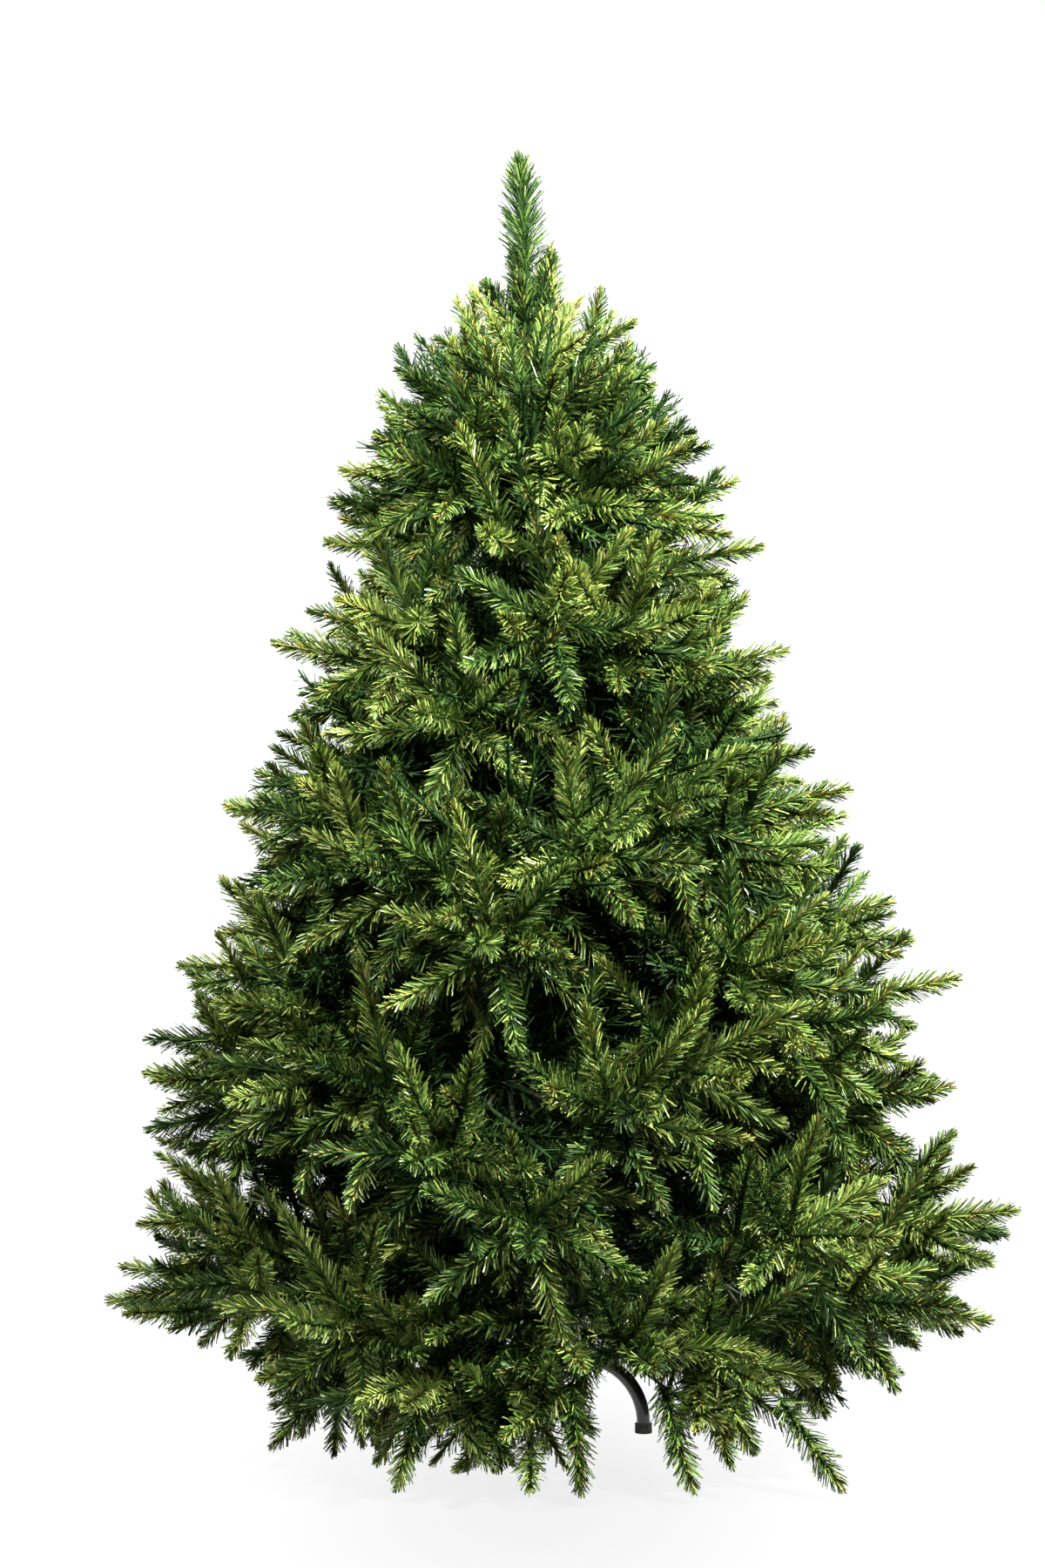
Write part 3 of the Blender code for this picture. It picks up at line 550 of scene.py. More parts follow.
def needle_fan(tips, counts, start, lengths, leans, width, rng):
    """The corners of the needles on many tips: two at each needle's foot and two at its cut end."""
    tip = np.repeat(np.arange(len(tips)), counts)
    order = np.arange(len(tip)) - np.repeat(np.cumsum(counts) - counts, counts)
    share = start + (1 - start) * (order + rng.random(len(tip))) / counts[tip]
    foot, heading, bend = (
        np.array([getattr(each, part) for each in tips])[tip] for part in ("foot", "heading", "bend")
    )
    length, radius = (
        np.array([getattr(each, part) for each in tips])[tip, None] for part in ("length", "radius")
    )
    s = share[:, None]
    place = foot + length * (heading * s + bend * s * s)
    axis = unit(heading + 2 * bend * s)
    side = unit(np.cross(axis, ACROSS_TIPS))
    other = np.cross(axis, side)
    turn = (order * GOLDEN_TURN + rng.normal(0, NEEDLE_TURN_SCATTER, len(tip)))[:, None]
    outward = np.cos(turn) * side + np.sin(turn) * other
    lean = (np.interp(share, *leans) + rng.normal(0, NEEDLE_LEAN_SCATTER, len(tip)))[:, None]
    ahead = np.cos(lean) * axis + np.sin(lean) * outward
    long = np.interp(share, *lengths) * rng.uniform(*NEEDLE_LENGTH_SCATTER, len(tip))
    flat = unit(np.cross(ahead, rng.normal(size=(len(tip), 3))))
    root, end = place + TIP_WIRE * outward, place + long[:, None] * radius * ahead
    wide = 0.5 * width * rng.uniform(*NEEDLE_WIDTH_SCATTER, len(tip))[:, None] * flat
    twist = rng.uniform(-NEEDLE_TWIST, NEEDLE_TWIST, len(tip))[:, None]
    narrow = NEEDLE_END * (np.cos(twist) * wide + np.sin(twist) * np.cross(ahead, wide))
    corners = np.stack([root - wide, root + wide, end + narrow, end - narrow], axis=1)
    corners[..., 2] = np.maximum(corners[..., 2], FLOOR_GAP)
    return corners


def needle_piece(name, needles):
    return mesh_piece(name, needles.reshape(-1, 3), np.arange(4 * len(needles)).reshape(-1, 4))


# --- wires
def tube(points, radii, sides, ridge=0.0, turns=0.0):
    """Points and faces of a tube through the points, ridged like tape wound round a wire."""
    points = np.array(points)
    axis = unit(np.gradient(points, axis=0))
    side = unit(np.cross(axis, ACROSS_WIRES))
    other = np.cross(axis, side)
    turn = np.arange(sides) * math.tau / sides
    tape = (turn / math.tau)[None, :] + turns * np.linspace(0, 1, len(points))[:, None]
    out = np.cos(turn)[None, :, None] * side[:, None] + np.sin(turn)[None, :, None] * other[:, None]
    radii = np.array(radii)[:, None] * (1 + ridge * (tape % 1.0))
    skin = points[:, None] + radii[..., None] * out
    ring = np.arange(sides)
    after = (ring + 1) % sides
    band = np.stack([ring, after, sides + after, sides + ring], axis=1)
    quads = [index * sides + band for index in range(len(points) - 1)]
    return skin.reshape(-1, 3), np.concatenate(quads)


def twig_tube(line, radii):
    """The wound wire of a twig, from its first radius to its last."""
    return tube(line, np.linspace(*radii, len(line)), TWIG_SIDES, TWIG_RIDGE, len(line))


def tubes_piece(name, tubes):
    """One piece from many tubes."""
    points, quads, start = [], [], 0
    for skin, faces in tubes:
        points.append(skin)
        quads.append(faces + start)
        start += len(skin)
    return mesh_piece(name, np.concatenate(points), np.concatenate(quads))


# --- modelling helpers
def select_only(*pieces):
    bpy.ops.object.select_all(action="DESELECT")
    for piece in pieces:
        piece.select_set(True)
    bpy.context.view_layer.objects.active = pieces[0]


def settled(piece):
    """Bring a piece's place and turn into its mesh, so that its object stands at the origin."""
    select_only(piece)
    bpy.ops.object.transform_apply(location=True, rotation=True, scale=True)
    return piece


@contextmanager
def edit_mode():
    """Edit mode for the active piece, and object mode after it."""
    bpy.ops.object.mode_set(mode="EDIT")
    yield
    bpy.ops.object.mode_set(mode="OBJECT")


def pull(step):
    """Extrude what is selected by a step."""
    bpy.ops.mesh.extrude_region_move(TRANSFORM_OT_translate={"value": step})


def close_seams():
    """Merge the points of a spun mesh that meet, and turn its faces outwards."""
    bpy.ops.mesh.select_all(action="SELECT")
    bpy.ops.mesh.remove_doubles(threshold=WELD)
    bpy.ops.mesh.dissolve_degenerate(threshold=WELD)
    bpy.ops.mesh.normals_make_consistent(inside=False)


def rod(vertices, radius, depth, location, rotation=(0, 0, 0)):
    """A cylinder with its place and turn in its mesh."""
    bpy.ops.mesh.primitive_cylinder_add(
        vertices=vertices, radius=radius, depth=depth, location=location, rotation=rotation
    )
    return settled(bpy.context.object)


def wire_ring(radius, thick, steps, location, rotation):
    """A torus with its place and turn in its mesh."""
    bpy.ops.mesh.primitive_torus_add(
        major_radius=radius, minor_radius=thick, major_segments=steps, minor_segments=8,
        location=location, rotation=rotation,
    )
    return settled(bpy.context.object)


def copied(piece, turn=0.0, place=(0, 0, 0)):
    """A copy of a settled piece with its own mesh, turned round the pole's axis and moved."""
    other = piece.copy()
    other.data = piece.data.copy()
    linked(other)
    other.rotation_euler = (0, 0, turn)
    other.location = place
    return settled(other)


def joined(name, pieces):
    select_only(*pieces)
    if len(pieces) > 1:
        bpy.ops.object.join()
    piece = bpy.context.object
    piece.name = piece.data.name = name
    return settled(piece)


def rounded(piece, width, segments=2):
    """Soften a piece's sharp edges and smooth its faces."""
    select_only(piece)
    bevel = piece.modifiers.new("soft_edges", "BEVEL")
    bevel.width, bevel.segments = width, segments
    bevel.limit_method = "ANGLE"
    bpy.ops.object.modifier_apply(modifier=bevel.name)
    bpy.ops.object.shade_smooth_by_angle(angle=SMOOTH_ANGLE)
    return piece


def pick_faces(piece, wanted):
    """In edit mode, select just the faces whose middle and normal are wanted."""
    bpy.ops.mesh.select_mode(type="FACE")
    bpy.ops.mesh.select_all(action="DESELECT")
    for face in bmesh.from_edit_mesh(piece.data).faces:
        face.select_set(wanted(face.calc_center_median(), face.normal))


def turned(name, profile, steps=TURNED_STEPS):
    """A piece of revolution round the Z axis, spun from a closed profile of (radius, height)."""
    first, height = profile[0]
    bpy.ops.mesh.primitive_plane_add(size=0.001, location=(first, 0, height))
    piece = bpy.context.object
    piece.name = piece.data.name = name
    with edit_mode():
        bpy.ops.mesh.select_mode(type="VERT")
        bpy.ops.mesh.merge(type="CENTER")
        for here, there in zip(profile, profile[1:] + profile[:1]):
            pull((there[0] - here[0], 0, there[1] - here[1]))
        bpy.ops.mesh.select_all(action="SELECT")
        bpy.ops.mesh.spin(steps=steps, angle=math.tau, center=(0, 0, 0), axis=(0, 0, 1))
        close_seams()
    return settled(piece)


# --- pole
def tube_radius(height):
    return next((radius for top, radius in POLE_TUBES if height <= top), POLE_TUBES[-1][1])


def make_pole_tubes(finish):
    """The three lengths of tube, their sleeves and the cap on the top one."""
    low = POLE_FOOT
    for index, (top, radius) in enumerate(POLE_TUBES):
        bore = radius - POLE_WALL
        profile = [(bore, low), (radius, low), (radius, top), (bore, top)]
        if top == POLE_TOP:
            profile = profile[:2] + [(radius, top - 0.002), (0.7 * radius, top), (0, top)]
            profile += [(0, top - 0.003), (bore, top - 0.004)]
        tube_piece = rounded(turned(f"pole_tube_{index + 1}", profile), 0.0003)
        dress(tube_piece, finish, ["pole"])
        low = top
    for index, (height, radius) in enumerate(POLE_TUBES[:-1]):
        outer, inner = radius + SLEEVE_STEP, tube_radius(height + SLEEVE_HALF)
        end, rim, groove = SLEEVE_HALF, SLEEVE_HALF - 0.003, outer - 0.0007
        profile = [(inner, height - end), (outer, height - end), (outer, height - rim)]
        profile += [(groove, height - rim + 0.001), (groove, height + rim - 0.001)]
        profile += [(outer, height + rim), (outer, height + end), (inner, height + end)]
        sleeve = rounded(turned(f"pole_sleeve_{index + 1}", profile), 0.0004)
        dress(sleeve, finish, ["pole"])


def in_slot(point, azimuths):
    """Whether a point on a collar's side lies in one of the slots that take the boughs."""
    azimuth = math.atan2(point.y, point.x)
    return any(abs(math.remainder(azimuth - slot, math.tau)) < SLOT_HALF_TURN for slot in azimuths)


def make_collar(level, tier, finish):
    """A collar with a slot for each bough, open to the side between its two flanges."""
    azimuths = [mass_azimuth(level, number) for number in range(tier.masses)]
    inner, side, lip = tube_radius(tier.collar) - 0.0002, COLLAR_RADIUS, COLLAR_HALF - FLANGE
    profile = [(inner, -COLLAR_HALF), (side, -COLLAR_HALF), (side, -lip), (side, lip)]
    profile += [(side, COLLAR_HALF), (inner, COLLAR_HALF)]
    collar = turned(f"collar_{tier.name}", profile, COLLAR_STEPS)
    collar.rotation_euler.z = azimuths[0] - 0.5 * math.tau / COLLAR_STEPS
    settled(collar)
    with edit_mode():
        pick_faces(
            collar,
            lambda middle, normal: abs(middle.z) < 0.001
            and abs(normal.z) < 0.1
            and math.hypot(middle.x, middle.y) > side - 0.002
            and in_slot(middle, azimuths),
        )
        bpy.ops.mesh.extrude_region_shrink_fatten(TRANSFORM_OT_shrink_fatten={"value": -SLOT_DEPTH})
        pick_faces(
            collar,
            lambda middle, normal: abs(normal.z) > 0.9 and abs(middle.z) > COLLAR_HALF - 0.0001,
        )
        bpy.ops.mesh.inset(thickness=0.004, depth=-0.0012)
    collar.location.z = tier.collar
    dress(rounded(settled(collar), 0.0005), finish, ["pole"])


def make_hook():
    """The eye at a bough's root, bent round its pin, with the shank that the bough is wound on."""
    eye = wire_ring(EYE_RADIUS, EYE_WIRE, 20, (PIN_RADIUS, 0, 0), ALONG_Y)
    shank = rod(10, SHANK_RADIUS, SHANK_LENGTH, (SHANK_PLACE, 0, 0), ALONG_X)
    with edit_mode():
        pick_faces(shank, lambda middle, normal: normal.x < -0.9)
        inner_end = (SHANK_PLACE - 0.5 * SHANK_LENGTH, 0, 0)
        bpy.ops.transform.resize(value=(1, 0.75, 0.75), center_override=inner_end)
    return rounded(joined("hook", [eye, shank]), 0.0003)


def make_pin():
    """A rivet across a slot: a shank with a domed head at each end."""
    pin = rod(12, PIN_THICK, PIN_LENGTH, (PIN_RADIUS, 0, 0), ALONG_Y)
    with edit_mode():
        for side in (-1, 1):
            pick_faces(pin, lambda middle, normal, side=side: side * normal.y > 0.9)
            pull((0, PIN_HEAD * side, 0))
            top = (PIN_RADIUS, side * (0.5 * PIN_LENGTH + PIN_HEAD), 0)
            bpy.ops.transform.resize(value=(0.6, 1, 0.6), center_override=top)
    return rounded(pin, 0.0002)


def make_hinges(finish):
    """A hook and a pin in every slot of every collar."""
    hook, pin = make_hook(), make_pin()
    for level, tier in enumerate(TIERS):
        turns = [mass_azimuth(level, number) for number in range(tier.masses)]
        for name, pattern in (("hooks", hook), ("pins", pin)):
            copies = [copied(pattern, turn, (0, 0, tier.collar)) for turn in turns]
            dress(joined(f"{name}_{tier.name}", copies), finish, ["pole"])
    for pattern in (hook, pin):
        bpy.data.objects.remove(pattern)


def make_pole(paint, zinc):
    make_pole_tubes(paint)
    for level, tier in enumerate(TIERS):
        make_collar(level, tier, paint)
    make_hinges(zinc)


# --- boughs
def make_boughs(wire):
    """Each bough a steel wire wound with tape, tapering to where its needles' stem takes over."""
    for level, tier in enumerate(TIERS):
        if tier.bough is None:
            continue
        for number in range(tier.masses):
            root, *curve = bough_line(level, number, BOUGH_STEPS)
            points = [root, root.lerp(curve[0], 0.02), root.lerp(curve[0], 0.5), *curve]
            points.append(curve[-1] + 0.0001 * (curve[-1] - curve[-2]).normalized())
            radii = np.linspace(*BOUGH_RADII, len(points)) * (1 - TAPE_SINK)
            radii[0] = radii[-1] = 0.0004
            skin = tube(points, radii, BOUGH_SIDES, TAPE_RIDGE, TAPE_TURNS)
            name = f"bough_{tier.name}_{number + 1}"
            dress(tubes_piece(name + "_wound", [skin]), wire, [name])


# --- stand
def make_socket(paint):
    """The tube that holds the pole, its welded ring and the nuts that the thumbscrews run in."""
    ring_top, ring_bottom = LEG_HEIGHT + RING_HALF, LEG_HEIGHT - RING_HALF
    profile = [
        (SOCKET_BORE, SOCKET_TOP), (SOCKET_OUTER, SOCKET_TOP), (SOCKET_OUTER, ring_top + WELD_BEAD),
        (SOCKET_OUTER + WELD_BEAD, ring_top), (SOCKET_RING, ring_top), (SOCKET_RING, ring_bottom),
        (SOCKET_OUTER + WELD_BEAD, ring_bottom), (SOCKET_OUTER, ring_bottom - WELD_BEAD),
        (SOCKET_OUTER, SOCKET_BOTTOM), (SOCKET_BORE, SOCKET_BOTTOM),
    ]
    tube_piece = rounded(turned("socket_tube", profile), 0.0007)
    nuts = []
    for _, azimuth in screw_azimuths():
        place = polar(SOCKET_OUTER + 0.5 * NUT_HEIGHT - 0.0006, azimuth, SCREW_HEIGHT)
        nut = rod(6, NUT_RADIUS, NUT_HEIGHT, place, (0, math.pi / 2, azimuth))
        outward = polar(1, azimuth, 0)
        with edit_mode():
            pick_faces(nut, lambda middle, normal, outward=outward: normal.dot(outward) > 0.9)
            bpy.ops.mesh.inset(thickness=0.0011, depth=0.0005)
        nuts.append(rounded(nut, 0.0003))
    dress(joined("stand_socket_welded", [tube_piece, *nuts]), paint, ["stand_socket"])


def screw_azimuths():
    """The two thumbscrews stand between the legs, on the left and on the right."""
    between = LEG_TURN + 45.0
    return (("right", math.radians(between)), ("left", math.radians(between + 180.0)))


def make_screw(side, azimuth, finish):
    """A thumbscrew: a threaded shank in a fluted head."""
    start, head = POLE_TUBES[0][1] + GAP, SCREW_REACH - SCREW_HEAD_LENGTH
    threads = int((head - start) / THREAD_PITCH)
    profile = [(0, start)]
    for index in range(threads):
        low = start + index * THREAD_PITCH
        profile += [(SCREW_RADIUS - 0.0005, low), (SCREW_RADIUS, low + 0.5 * THREAD_PITCH)]
    profile += [(SCREW_RADIUS - 0.0005, head + 0.001), (0, head + 0.001)]
    shank = turned("shank", profile, 14)
    knob = rod(HEAD_FLUTES, SCREW_HEAD, SCREW_HEAD_LENGTH, (0, 0, head + 0.5 * SCREW_HEAD_LENGTH))
    with edit_mode():
        pick_faces(knob, lambda middle, normal: abs(normal.z) < 0.1)
        bpy.ops.mesh.inset(thickness=0.0003, depth=-0.0007, use_individual=True)
        pick_faces(knob, lambda middle, normal: normal.z > 0.99 and middle.z > SCREW_REACH - 0.0001)
        bpy.ops.mesh.inset(thickness=0.0030, depth=-0.0010)
    screw = joined(f"stand_screw_{side}_turned", [shank, rounded(knob, 0.0002, 1)])
    screw.rotation_euler = (0, math.pi / 2, azimuth)
    screw.location = (0, 0, SCREW_HEIGHT)
    dress(settled(screw), finish, ["stand_screw_" + side])


def make_leg():
    """A bent tube, level at the socket's ring and upright on its foot, with its weld bead."""
    arch_start, arch_end = LEG_REACH - LEG_ARCH, LEG_HEIGHT - LEG_ARCH
    start = SOCKET_RING + GAP
    bpy.ops.mesh.primitive_circle_add(
        vertices=LEG_SIDES, radius=LEG_RADIUS, fill_type="NGON",
        location=(start, 0, LEG_HEIGHT), rotation=ALONG_X,
    )
    leg = settled(bpy.context.object)
    with edit_mode():
        bpy.ops.mesh.select_all(action="SELECT")
        pull((arch_start - start, 0, 0))
        bpy.ops.mesh.spin(
            steps=LEG_STEPS, angle=-math.pi / 2, center=(arch_start, 0, arch_end), axis=(0, 1, 0)
        )
        pull((0, 0, SHOE_FLOOR + GAP - arch_end))
        close_seams()
    bead_place = (start + 0.0006, 0, LEG_HEIGHT)
    bead = wire_ring(LEG_RADIUS + 0.0004, WELD_BEAD, 36, bead_place, ALONG_X)
    with edit_mode():
        bpy.ops.mesh.select_all(action="SELECT")
        bpy.ops.transform.vertex_random(offset=0.0003, uniform=1.0, seed=SEED)
    return joined("leg", [rounded(leg, 0.0004), rounded(bead, 0.0001, 1)])


def make_shoe():
    """A rubber cup with two grooves round it, standing on its rim."""
    inner, outer, groove = SHOE_BORE, SHOE_RADIUS, SHOE_RADIUS - 0.0008
    profile = [(0, SHOE_FLOOR), (inner, SHOE_FLOOR), (inner, SHOE_HEIGHT), (outer, SHOE_HEIGHT)]
    for height in (0.012, 0.008):
        profile += [(outer, height + 0.001), (groove, height), (outer, height - 0.001)]
    profile += [(outer, 0.0008), (outer - 0.0008, 0), (0, 0)]
    return rounded(turned("shoe", profile, 28), 0.0003)


def make_plug(rubber):
    """The rubber plug under the socket, ribbed round its flange."""
    top = SOCKET_BOTTOM - GAP
    profile = [(0, top), (SOCKET_OUTER, top), (PLUG_FLANGE - 0.001, top), (PLUG_FLANGE, top - 0.001)]
    profile += [(PLUG_FLANGE, 0.0042), (PLUG_FLANGE - 0.0008, 0.0036), (PLUG_FLANGE, 0.0030)]
    profile += [(PLUG_FLANGE, 0.001), (PLUG_FLANGE - 0.001, 0), (0, 0)]
    plug = rounded(turned("stand_plug_ribbed", profile), 0.0003)
    dress(plug, rubber, ["stand_plug"])


def make_stand(paint, rubber, zinc):
    make_socket(paint)
    make_plug(rubber)
    for side, azimuth in screw_azimuths():
        make_screw(side, azimuth, zinc)
    leg, shoe = make_leg(), make_shoe()
    for index, place in enumerate(LEGS):
        turn = math.radians(LEG_TURN + 90.0 * index)
        bent_leg = joined(f"stand_leg_{place}_bent", [copied(leg, turn)])
        dress(bent_leg, paint, ["stand_leg_" + place])
        cup = joined(f"stand_shoe_{place}_grooved", [copied(shoe, turn, polar(LEG_REACH, turn, 0))])
        dress(cup, rubber, ["stand_shoe_" + place])
    for pattern in (leg, shoe):
        bpy.data.objects.remove(pattern)


# --- finishes
# Each made finish: two colours and how fine their patches are, the least and the most roughness,
# metallic, shine, coat, how much dust lies on it, and how fine and how deep its grain is
Finish = namedtuple("Finish", "first second patches smooth rough metallic shine coat dust grain relief")
FINISHES = {
    "pole_paint": Finish(
        (0.020, 0.042, 0.018), (0.032, 0.062, 0.028), 14, 0.34, 0.55, 0, 0.5, 0.15, 0.12, 700, 0.00006
    ),
    "black_paint": Finish(
        (0.004, 0.004, 0.005), (0.008, 0.008, 0.009), 20, 0.14, 0.30, 0, 0.5, 0.45, 0.05, 500, 0.00005
    ),
    "black_rubber": Finish(
        (0.009, 0.009, 0.009), (0.018, 0.018, 0.017), 60, 0.70, 0.92, 0, 0.5, 0.0, 0.10, 1500, 0.00008
    ),
    "zinc": Finish(
        (0.42, 0.43, 0.45), (0.56, 0.56, 0.57), 180, 0.26, 0.46, 1, 0.5, 0.0, 0.05, 1800, 0.00003
    ),
    "wrapped_wire": Finish(
        (0.022, 0.030, 0.014), (0.045, 0.036, 0.020), 70, 0.65, 0.88, 0, 0.1, 0.0, 0.02, 1100, 0.00010
    ),
}
DUST_COLOUR = (0.30, 0.28, 0.24)
NEEDLE_FINISHES = {  # colour, roughness and shine
    # painted shade: near black green for the inner tips deep in the crown
    "inner": ((0.007, 0.018, 0.005), 0.43, 0.05),
    "deep": ((0.018, 0.039, 0.008), 0.43, 0.15),
    "green": ((0.043, 0.084, 0.012), 0.43, 0.25),
    "fresh": ((0.080, 0.130, 0.019), 0.43, 0.25),
    "light": ((0.155, 0.188, 0.040), 0.43, 0.25),
    "golden": ((0.215, 0.155, 0.032), 0.43, 0.25),
    # painted shade: near black green for the solid cores at the needles' roots, where there is only
    # shade among the needles
    "root": ((0.010, 0.024, 0.006), 0.9, 0.0),
}


def set_inputs(node, inputs):
    """Give each of a node's inputs a value, or feed it from a socket."""
    for label, value in inputs.items():
        if isinstance(value, bpy.types.NodeSocket):
            node.id_data.links.new(value, node.inputs[label])
        else:
            node.inputs[label].default_value = value
    return node


def plain_finish(name, colour, roughness, shine, metallic=0.0, coat=0.0):
    """A material of one colour."""
    made = bpy.data.materials.new(name)
    made.use_nodes = True
    set_inputs(made.node_tree.nodes["Principled BSDF"], {
        "Base Color": (*colour, 1.0), "Roughness": roughness, "Specular IOR Level": shine,
        "Metallic": metallic, "Coat Weight": coat,
    })
    return made


def add_node(tree, kind, inputs, **settings):
    """A shader node with its settings and its inputs."""
    node = tree.nodes.new("ShaderNode" + kind)
    for name, value in settings.items():
        setattr(node, name, value)
    return set_inputs(node, inputs)


def add_noise(tree, scale, detail):
    """Noise on the object's own coordinates, its scale taken from a socket."""
    place = add_node(tree, "TexCoord", {}).outputs["Object"]
    noise = add_node(tree, "TexNoise", {"Vector": place, "Scale": scale, "Detail": detail})
    return noise.outputs["Fac"]


def multiply(tree, first, second):
    return add_node(tree, "Math", {0: first, 1: second}, operation="MULTIPLY").outputs["Value"]


def mix_colours(tree, share, first, second):
    colours = {"Factor": share, "A": first, "B": second}
    return add_node(tree, "Mix", colours, data_type="RGBA").outputs["Result"]


def new_group(name, inputs, output):
    """A shader group with number inputs, of given defaults, and one number output."""
    group = bpy.data.node_groups.new(name, "ShaderNodeTree")
    for label, default in inputs.items():
        socket = group.interface.new_socket(label, in_out="INPUT", socket_type="NodeSocketFloat")
        socket.default_value = default
    group.interface.new_socket(output, in_out="OUTPUT", socket_type="NodeSocketFloat")
    return group, group.nodes.new("NodeGroupInput").outputs, group.nodes.new("NodeGroupOutput")


def patches_group():
    """Soft patches, from 0 to 1, as handling and uneven paint leave them."""
    group, given, made = new_group("patches", {"Scale": 20.0}, "Mask")
    noise = add_noise(group, given["Scale"], 4.0)
    spread = add_node(group, "MapRange", {"Value": noise, "From Min": 0.36, "From Max": 0.66})
    set_inputs(made, {"Mask": spread.outputs["Result"]})
    return group


def dust_group():
    """Dust that lies in flecks, thickest where the surface faces up."""
    group, given, made = new_group("settled_dust", {"Amount": 0.3, "Scale": 160.0}, "Mask")
    normal = add_node(group, "NewGeometry", {}).outputs["Normal"]
    height = add_node(group, "SeparateXYZ", {"Vector": normal}).outputs["Z"]
    upward = add_node(group, "MapRange", {"Value": height, "From Min": -0.1})
    noise = add_noise(group, given["Scale"], 5.0)
    flecks = add_node(group, "MapRange", {"Value": noise, "From Min": 0.42, "From Max": 0.70})
    both = multiply(group, upward.outputs["Result"], flecks.outputs["Result"])
    set_inputs(made, {"Mask": multiply(group, both, given["Amount"])})
    return group


def grain_group():
    """The height of a finish's fine grain."""
    group, given, made = new_group("grain", {"Scale": 900.0}, "Height")
    set_inputs(made, {"Height": add_noise(group, given["Scale"], 2.0)})
    return group


def made_finish(name, values, patches, dust, grain):
    """A material from its values and the three shared groups."""
    made = plain_finish(name, values.first, values.smooth, values.shine, values.metallic, values.coat)
    tree = made.node_tree
    patch = add_node(tree, "Group", {"Scale": values.patches}, node_tree=patches).outputs["Mask"]
    fleck = add_node(tree, "Group", {"Amount": values.dust}, node_tree=dust).outputs["Mask"]
    relief = add_node(tree, "Group", {"Scale": values.grain}, node_tree=grain).outputs["Height"]
    colour = mix_colours(tree, patch, (*values.first, 1.0), (*values.second, 1.0))
    colour = mix_colours(tree, fleck, colour, (*DUST_COLOUR, 1.0))
    worn = add_node(tree, "MapRange", {"Value": patch, "To Min": values.smooth, "To Max": values.rough})
    bump = add_node(tree, "Bump", {"Strength": 0.6, "Distance": values.relief, "Height": relief})
    set_inputs(tree.nodes["Principled BSDF"], {
        "Base Color": colour, "Roughness": worn.outputs["Result"], "Normal": bump.outputs["Normal"],
    })
    return made


# --- assembly
def grow(level, tier):
    """The tips and wires of a tier's masses, and the nodes they stand for."""
    tips, tubes, all_twigs = [], [], []
    for number in range(tier.masses):
        root, heading = mass_root(level, number)
        stem_end = root + (FORK_FIRST + tier.twigs * FORK_STEP) * heading
        stem = [root.lerp(stem_end, i / STEM_STEPS) for i in range(STEM_STEPS + 1)]
        radii = np.linspace(*STEM_RADII, len(stem))
        tubes.append(tube(stem, radii, STEM_SIDES, STEM_RIDGE, STEM_STEPS))
        twigs = list(twigs_of(level, number))
        all_twigs += twigs
        for twig in twigs:
            (line, *finer), own_tips = growth(twig)
            tips += own_tips
            tubes.append(twig_tube(line, TWIG_RADII))
            tubes += [twig_tube(line, BRANCH_RADII) for line in finer]
        tips += bough_tips([root, stem_end], STEM_TIP_FEET, (level, number, 4))
        if tier.bough:
            tips += bough_tips(bough_line(level, number), BOUGH_TIP_FEET, (level, number, 3))
    for line, own_tips in far_branches(level, all_twigs):
        tips += own_tips
        tubes.append(twig_tube(line, FAR_RADII))
    tips = [tip for tip in tips if tip and not in_fringe_gap(tip)]
    return tips, tubes, [f"needles_{tier.name}_{number + 1}" for number in range(tier.masses)]


def add_needles(label, tips, nodes, finishes):
    """The needles of some tips, a piece for each shade, and their golden bristles."""
    rng = np.random.default_rng(SEED + len(tips))
    counts = np.array([tip.needles for tip in tips])
    shades = np.repeat([tip.shade for tip in tips], counts)
    shades = np.rint(shades + rng.normal(0, SHADE_SPREAD, len(shades)))
    shades = np.clip(shades, 0, len(SHADES) - 1)
    shape = (NEEDLE_START, NEEDLE_LENGTHS, NEEDLE_LEANS, NEEDLE_WIDTH)
    needles = needle_fan(tips, counts, *shape, rng)
    for index, shade in enumerate(SHADES):
        own = needles[shades == index]
        if len(own):
            dress(needle_piece(f"needles_{label}_{shade}", own), finishes[shade], nodes)
    golden = [tip for tip in tips if tip.bristles > BARE_SHARE]
    shape = (BRISTLE_START, BRISTLE_LENGTHS, BRISTLE_LEANS, BRISTLE_WIDTH)
    bristles = needle_fan(golden, np.full(len(golden), BRISTLES), *shape, rng)
    dress(needle_piece(f"needles_{label}_golden", bristles), finishes["golden"], nodes)


def add_wires(label, tips, twig_tubes, nodes, wire, root):
    """The wires of some twigs, and the tufts of needle roots that close round each tip's wire, solid
    and near black as painted shade.
    """
    if twig_tubes:
        dress(tubes_piece(f"twigs_{label}", twig_tubes), wire, nodes)
    cores = []
    for tip in tips:
        line = [on_tip(tip, share) for share in CORE_SHARES]
        cores.append(tube(line, [share * tip.radius for share in CORE_RADII], CORE_SIDES))
    dress(tubes_piece(f"needle_roots_{label}", cores), root, nodes)


def make_crown(wire):
    finishes = {
        name: plain_finish("needles_" + name, *values) for name, values in NEEDLE_FINISHES.items()
    }
    for level, tier in enumerate(TIERS):
        tips, twig_tubes, nodes = grow(level, tier)
        add_needles(tier.name, tips, nodes, finishes)
        add_wires(tier.name, tips, twig_tubes, nodes, wire, finishes["root"])
    tips = list(leader_tips())
    add_needles("leader", tips, ["needles_leader"], finishes)
    add_wires("leader", tips, [], ["needles_leader"], wire, finishes["root"])


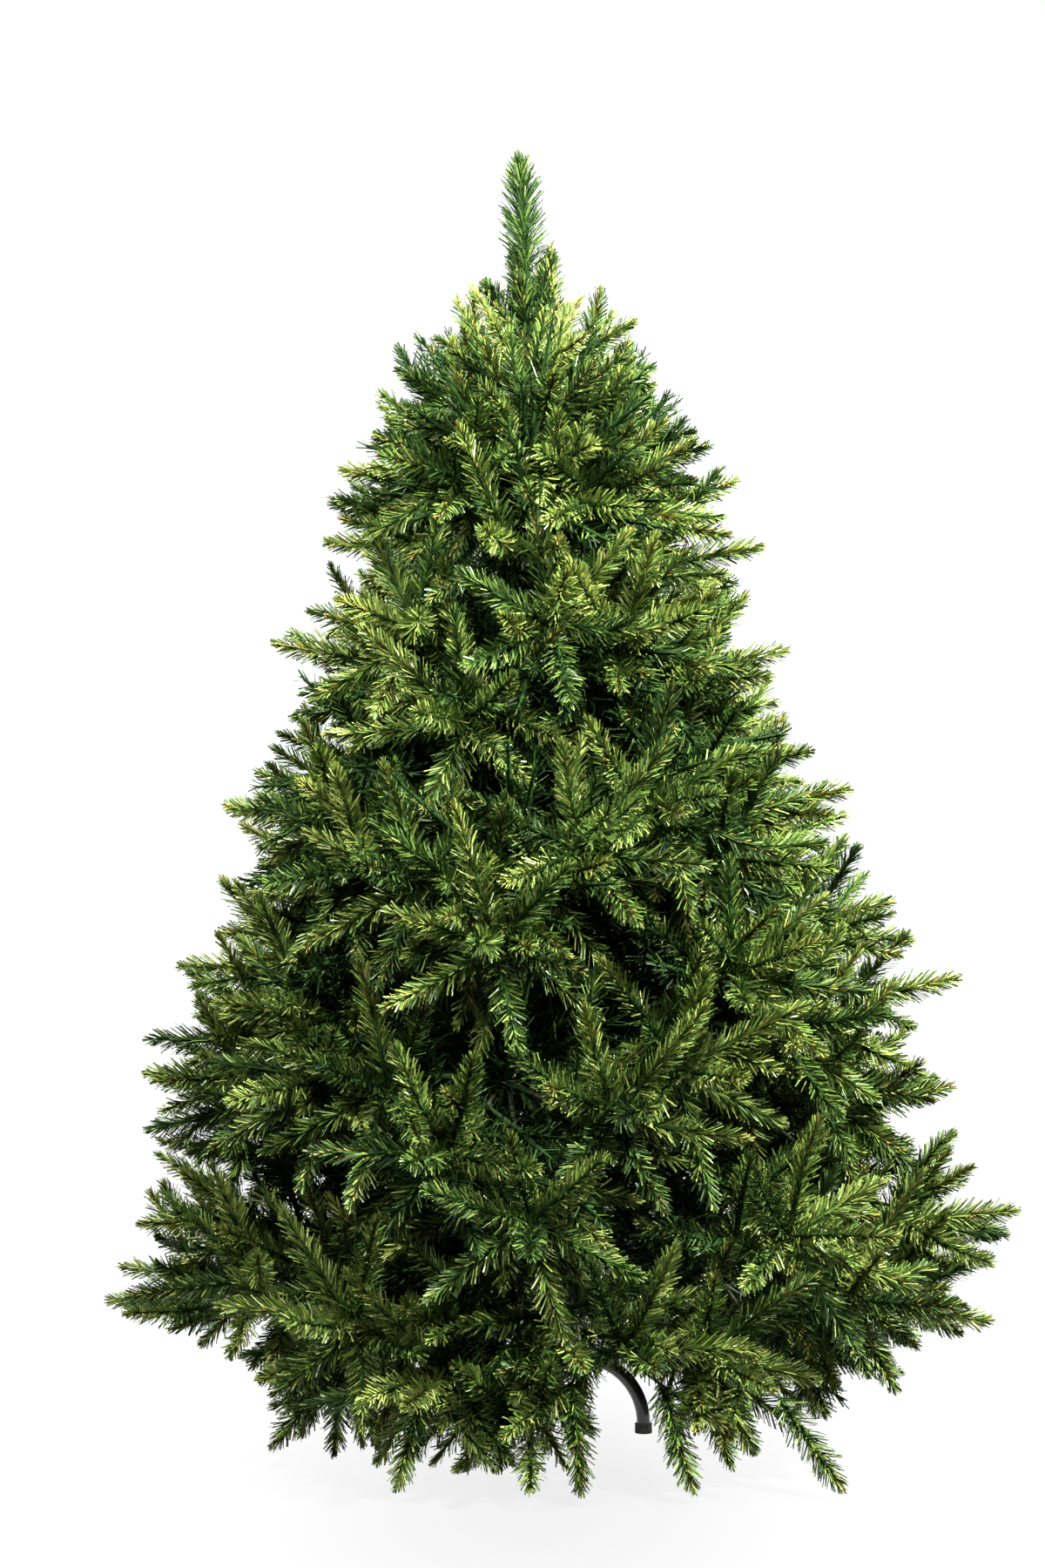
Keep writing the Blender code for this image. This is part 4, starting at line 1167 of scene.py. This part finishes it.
# --- studio
WALL_LIGHT, WALL_WHITE = 0.02, 1.1
FLOOR_RADIUS = 1.3
FLOOR_GLOW_AND_PAINTED_SHADOW = (0.83, 1.04)  # the floor's own glow: dimmer in the middle, as a painted shadow under the tree, and brighter away from it
PAINTED_SHADOW_MIDDLE, PAINTED_SHADOW_HALF = (0, -0.7, 0), (0.75, 1.6, 1)  # place and half size of the painted shadow
LAMPS = (  # azimuth, elevation, distance, the height on the pole that it faces, power and size
    ("lamp_right", -34.0, 36.0, 2.8, 1.3, 800, 0.26),
    ("lamp_left", -150.0, 42.0, 2.1, 1.45, 320, 0.24),
    ("lamp_front", -84.0, 35.0, 3.2, 0.9, 140, 0.5),
    ("lamp_back", 100.0, 38.0, 3.0, 1.1, 480, 0.5),
)
CAMERA_PLACE, CAMERA_LENS, CAMERA_SENSOR = (-0.017, -6.15, 1.063), 85.6, 36.0


def make_floor():
    bpy.ops.mesh.primitive_circle_add(vertices=64, radius=FLOOR_RADIUS, fill_type="NGON")
    floor = bpy.context.object
    floor.name = "floor"
    # The floor glows as painted light, and its glow dims in front of the tree as a painted shadow
    white = plain_finish("floor_glow_painted_shadow", (0.008, 0.008, 0.008), 0.9, 0.0)
    tree = white.node_tree
    place = add_node(tree, "TexCoord", {}).outputs["Object"]
    inputs = {"Vector": place, "Location": PAINTED_SHADOW_MIDDLE, "Scale": PAINTED_SHADOW_HALF}
    scaled = add_node(tree, "Mapping", inputs, vector_type="TEXTURE").outputs["Vector"]
    away = add_node(tree, "VectorMath", {0: scaled}, operation="LENGTH").outputs["Value"]
    inputs = {"Value": away, "To Min": FLOOR_GLOW_AND_PAINTED_SHADOW[0], "To Max": FLOOR_GLOW_AND_PAINTED_SHADOW[1]}
    glow_with_painted_shadow = add_node(tree, "MapRange", inputs, interpolation_type="SMOOTHSTEP")
    set_inputs(tree.nodes["Principled BSDF"], {
        "Emission Color": (1, 1, 1, 1), "Emission Strength": glow_with_painted_shadow.outputs["Result"],
    })
    floor.data.materials.append(white)
    floor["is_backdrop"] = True


def add_lamp(name, azimuth, elevation, distance, aim, power, size):
    """A round lamp that faces a height on the pole, from an azimuth and elevation in degrees."""
    light = bpy.data.lights.new(name, "AREA")
    light.shape = "DISK"
    light.energy, light.size = power, size
    lamp = linked(bpy.data.objects.new(name, light))
    towards = polar(math.cos(math.radians(elevation)), math.radians(azimuth), 0)
    towards.z = math.sin(math.radians(elevation))
    lamp.location = distance * towards + Vector((0, 0, aim))
    lamp.rotation_euler = towards.to_track_quat("Z", "Y").to_euler()


def make_studio():
    """A white room: bright to look at, and a weaker source of light than the lamps."""
    scene = bpy.context.scene
    world = bpy.data.worlds.new("studio")
    world.use_nodes = True
    tree = world.node_tree
    seen = add_node(tree, "LightPath", {}).outputs["Is Camera Ray"]
    strength = add_node(tree, "MapRange", {"Value": seen, "To Min": WALL_LIGHT, "To Max": WALL_WHITE})
    background = {"Color": (1, 1, 1, 1), "Strength": strength.outputs["Result"]}
    set_inputs(tree.nodes["Background"], background)
    scene.world = world
    scene.view_settings.view_transform = "Standard"
    for lamp in LAMPS:
        add_lamp(*lamp)


def make_camera():
    camera = bpy.data.cameras.new("camera")
    camera.sensor_fit = "VERTICAL"
    camera.sensor_height, camera.lens = CAMERA_SENSOR, CAMERA_LENS
    camera.clip_end = 200
    holder = linked(bpy.data.objects.new("camera", camera))
    holder.location = CAMERA_PLACE
    holder.rotation_euler = (math.pi / 2, 0, 0)
    bpy.context.scene.camera = holder


def main():
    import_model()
    solid_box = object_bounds()
    bpy.ops.object.select_all(action="DESELECT")
    shared = (patches_group(), dust_group(), grain_group())
    finishes = {name: made_finish(name, values, *shared) for name, values in FINISHES.items()}
    make_pole(finishes["pole_paint"], finishes["zinc"])
    make_boughs(finishes["wrapped_wire"])
    make_stand(finishes["black_paint"], finishes["black_rubber"], finishes["zinc"])
    make_crown(finishes["wrapped_wire"])
    make_floor()
    make_studio()
    make_camera()
    boxes = [[list(map(float, corner)) for corner in box] for box in (solid_box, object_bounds())]


main()
